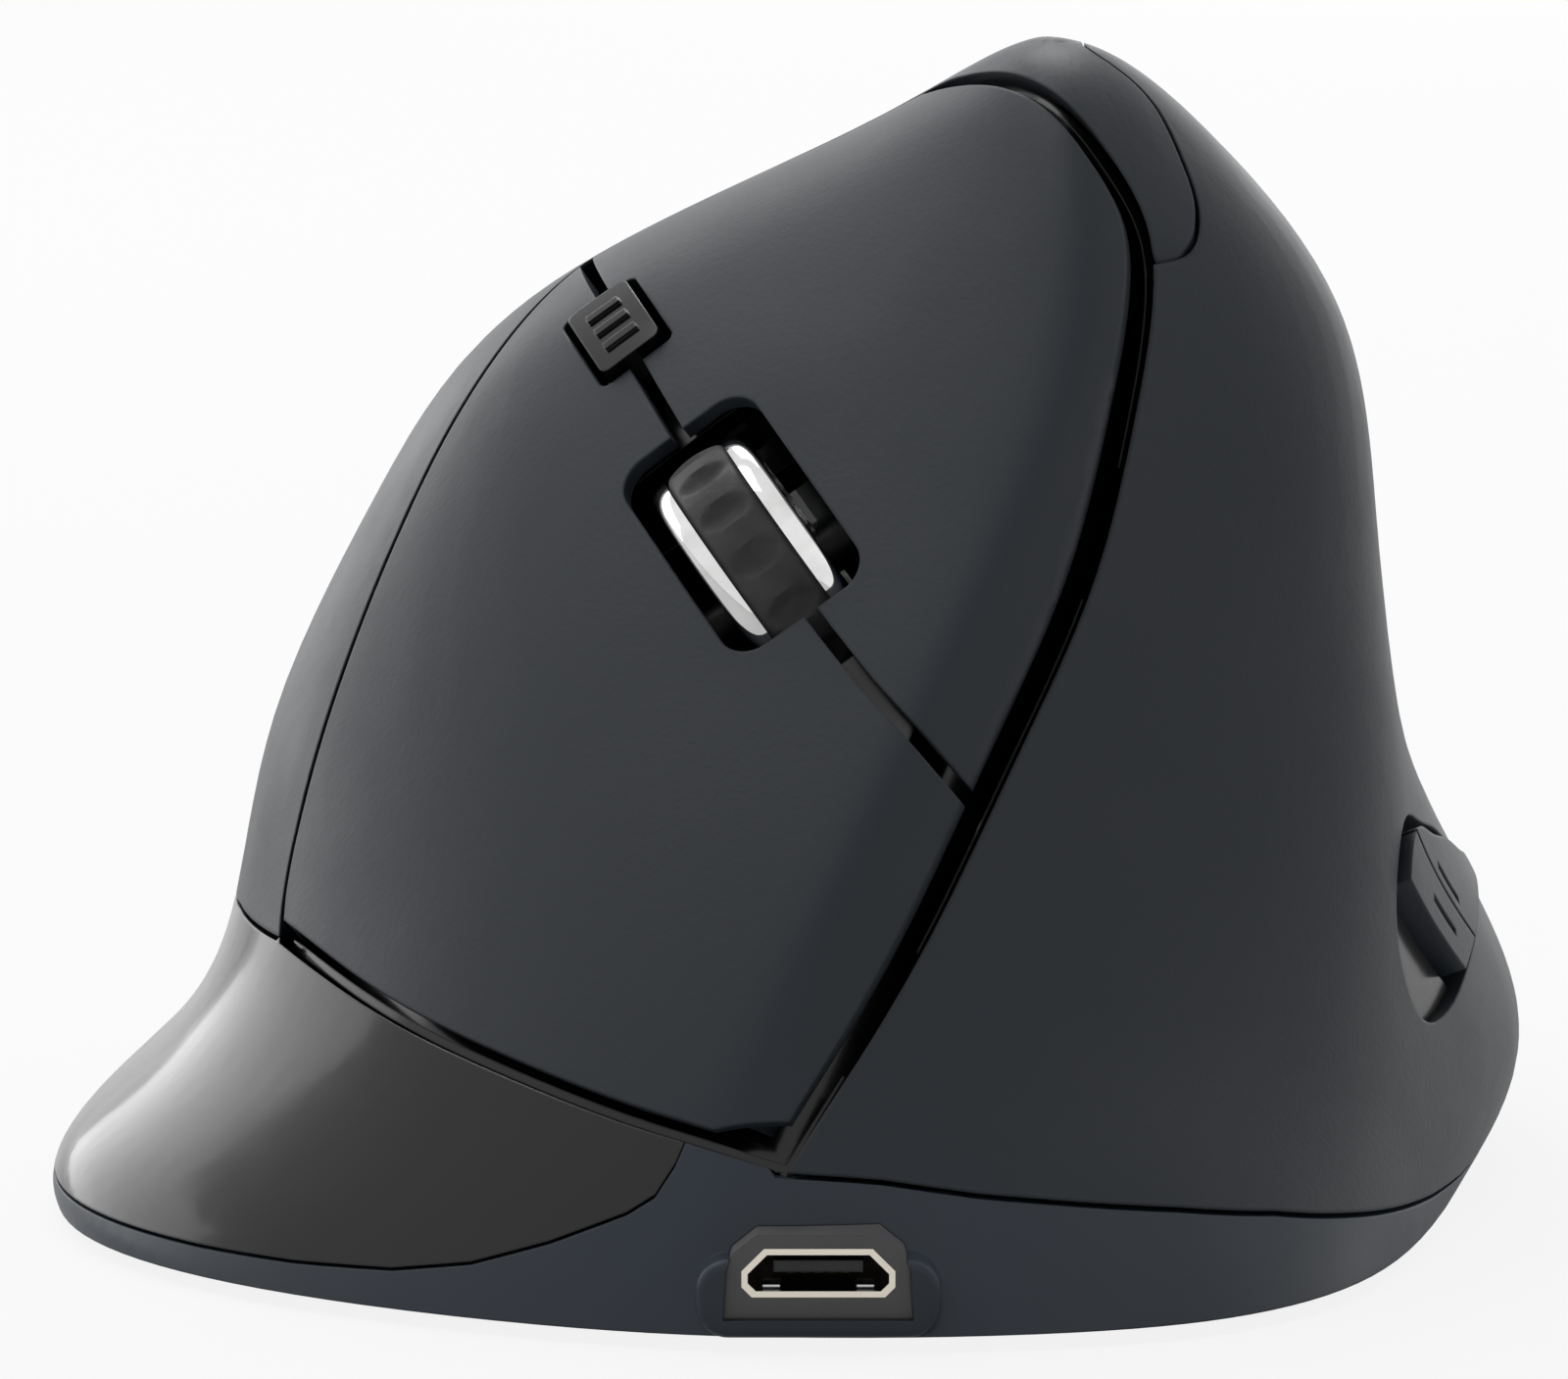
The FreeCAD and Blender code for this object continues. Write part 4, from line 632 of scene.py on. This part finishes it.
# %% What a ray may see as plain white
def seen_white(tree, gloss_share=1.0):
    """One for rays from the camera or through glass, a share for gloss, nought otherwise."""
    path = add(tree, "ShaderNodeLightPath")
    dulled = add(tree, "ShaderNodeMath", {1: gloss_share}, {0: (path, "Is Glossy Ray")},
                 operation="MULTIPLY")
    gloss = add(tree, "ShaderNodeMath", operation="MAXIMUM",
                links={0: (path, "Is Camera Ray"), 1: (dulled, 0)})
    return add(tree, "ShaderNodeMath", operation="MAXIMUM",
               links={0: (gloss, 0), 1: (path, "Is Transmission Ray")})


# %% Floor
# How much of the floor the camera sees as plain white: the rest is paper that takes the shadow.
WHITE_SHARE = 0.87
# A gloss sees the floor mostly as the paper that it is, because the mouse shades what is near it.
FLOOR_GLOSS = 0.35
FLOOR_REACH = 3.0
# A hair under the pads, so that the two don't share a plane.
FLOOR_DROP = 0.05 * MM


def make_floor():
    """A pale floor that keeps the shadow, and that the camera sees as nearly white."""
    material = bpy.data.materials.new("floor_paper")
    material.use_nodes = True
    tree = material.node_tree
    tree.nodes.clear()
    paper = add(tree, "ShaderNodeBsdfDiffuse", {"Color": linear("E4E4E4")})
    glow = add(tree, "ShaderNodeEmission", {"Color": linear("FFFFFF"), "Strength": 1.0})
    share = add(tree, "ShaderNodeMath", {1: WHITE_SHARE},
                {0: (seen_white(tree, FLOOR_GLOSS), 0)}, operation="MULTIPLY")
    mix = add(tree, "ShaderNodeMixShader",
              links={0: (share, 0), 1: (paper, "BSDF"), 2: (glow, "Emission")})
    add(tree, "ShaderNodeOutputMaterial", links={"Surface": (mix, "Shader")})
    work = bmesh.new()
    bmesh.ops.create_grid(work, x_segments=1, y_segments=1, size=FLOOR_REACH)
    bmesh.ops.translate(work, vec=(0, 0, -FLOOR_DROP), verts=work.verts)
    mesh = bpy.data.meshes.new("floor")
    work.to_mesh(mesh)
    work.free()
    floor = bpy.data.objects.new("floor", mesh)
    floor.data.materials.append(material)
    bpy.context.scene.collection.objects.link(floor)


make_floor()


# %% World
# How bright the tent is from the camera's side, through the flanks, to behind the mouse.
TENT = [(-0.85, 0.05), (-0.45, 0.12), (-0.05, 0.38), (0.25, 0.75), (0.7, 1.05), (0.98, 1.5)]
# The tent stands closer on the left, so that flank is brighter than the right one.
TENT_LEAN = -0.3


def make_world():
    """White to the camera and to gloss; to scattered light a tent that is dim in front."""
    world = bpy.data.worlds.new("light_tent")
    bpy.context.scene.world = world
    world.use_nodes = True
    tree = world.node_tree
    tree.nodes.clear()
    place = add(tree, "ShaderNodeTexCoord")
    parts = add(tree, "ShaderNodeSeparateXYZ", links={"Vector": (place, "Generated")})
    leaning = add(tree, "ShaderNodeMath", {1: TENT_LEAN}, {0: (parts, "X"), 2: (parts, "Y")},
                  operation="MULTIPLY_ADD")
    depth = add(tree, "ShaderNodeMapRange", {"From Min": -1.0, "From Max": 1.0},
                {"Value": (leaning, 0)})
    level = add(tree, "ShaderNodeValToRGB", links={"Fac": (depth, "Result")})
    level.color_ramp.interpolation = "EASE"
    stops = level.color_ramp.elements
    while len(stops) < len(TENT):
        stops.new(0.5)
    for stop, (place_along, bright) in zip(stops, TENT):
        stop.position = (place_along + 1) / 2
        stop.color = (bright, bright, bright, 1.0)
    tent = add(tree, "ShaderNodeBackground", {"Strength": 1.0}, {"Color": (level, "Color")})
    white = add(tree, "ShaderNodeBackground", {"Color": linear("FFFFFF"), "Strength": 1.0})
    mix = add(tree, "ShaderNodeMixShader", links={0: (seen_white(tree), 0),
                                                  1: (tent, "Background"),
                                                  2: (white, "Background")})
    add(tree, "ShaderNodeOutputWorld", links={"Surface": (mix, "Shader")})


make_world()


# %% Lamps
# Every lamp faces the middle of the mouse.
MIDDLE = Vector((0.0, 0.0, 0.03))


def softbox(name, place, width, height, watts):
    """A rectangular lamp at a place."""
    lamp = bpy.data.lights.new(name, "AREA")
    lamp.shape = "RECTANGLE"
    lamp.size = width
    lamp.size_y = height
    lamp.energy = watts
    holder = bpy.data.objects.new(name, lamp)
    holder.location = place
    holder.rotation_euler = (MIDDLE - Vector(place)).to_track_quat("-Z", "Y").to_euler()
    bpy.context.scene.collection.objects.link(holder)


softbox("overhead", (-0.35, 0.05, 0.7), 0.4, 0.3, 0.75)
softbox("left", (-0.67, 0.6, 0.28), 1.0, 0.48, 2.1)
softbox("behind", (-0.05, 0.55, 0.6), 0.4, 0.3, 1.4)
softbox("behind_low", (0.2, 0.8, 0.14), 0.5, 0.25, 0.4)

# %% [markdown]
# ## Camera
# A long lens from half a metre away, a little above the mouse and looking down its nose. Its angle
# of view comes from how many pixels one radian covers in the photograph.

# %% Camera
PHOTO_WIDTH = 1600
PIXELS_PER_RADIAN = 10450
SENSOR = 36.0
CAMERA_PLACE = Vector((-0.675, -544.07, 104.66)) * MM
CAMERA_DIP = math.radians(8.37)

lens = bpy.data.cameras.new("photo_camera")
lens.sensor_width = SENSOR
lens.lens = PIXELS_PER_RADIAN / PHOTO_WIDTH * SENSOR
lens.clip_start = 0.01
camera = bpy.data.objects.new("photo_camera", lens)
camera.location = CAMERA_PLACE
camera.rotation_euler = (math.pi / 2 - CAMERA_DIP, 0, 0)
bpy.context.scene.collection.objects.link(camera)
bpy.context.scene.camera = camera
bpy.context.scene.view_settings.view_transform = "Standard"
print("lens in mm:", round(lens.lens, 1))
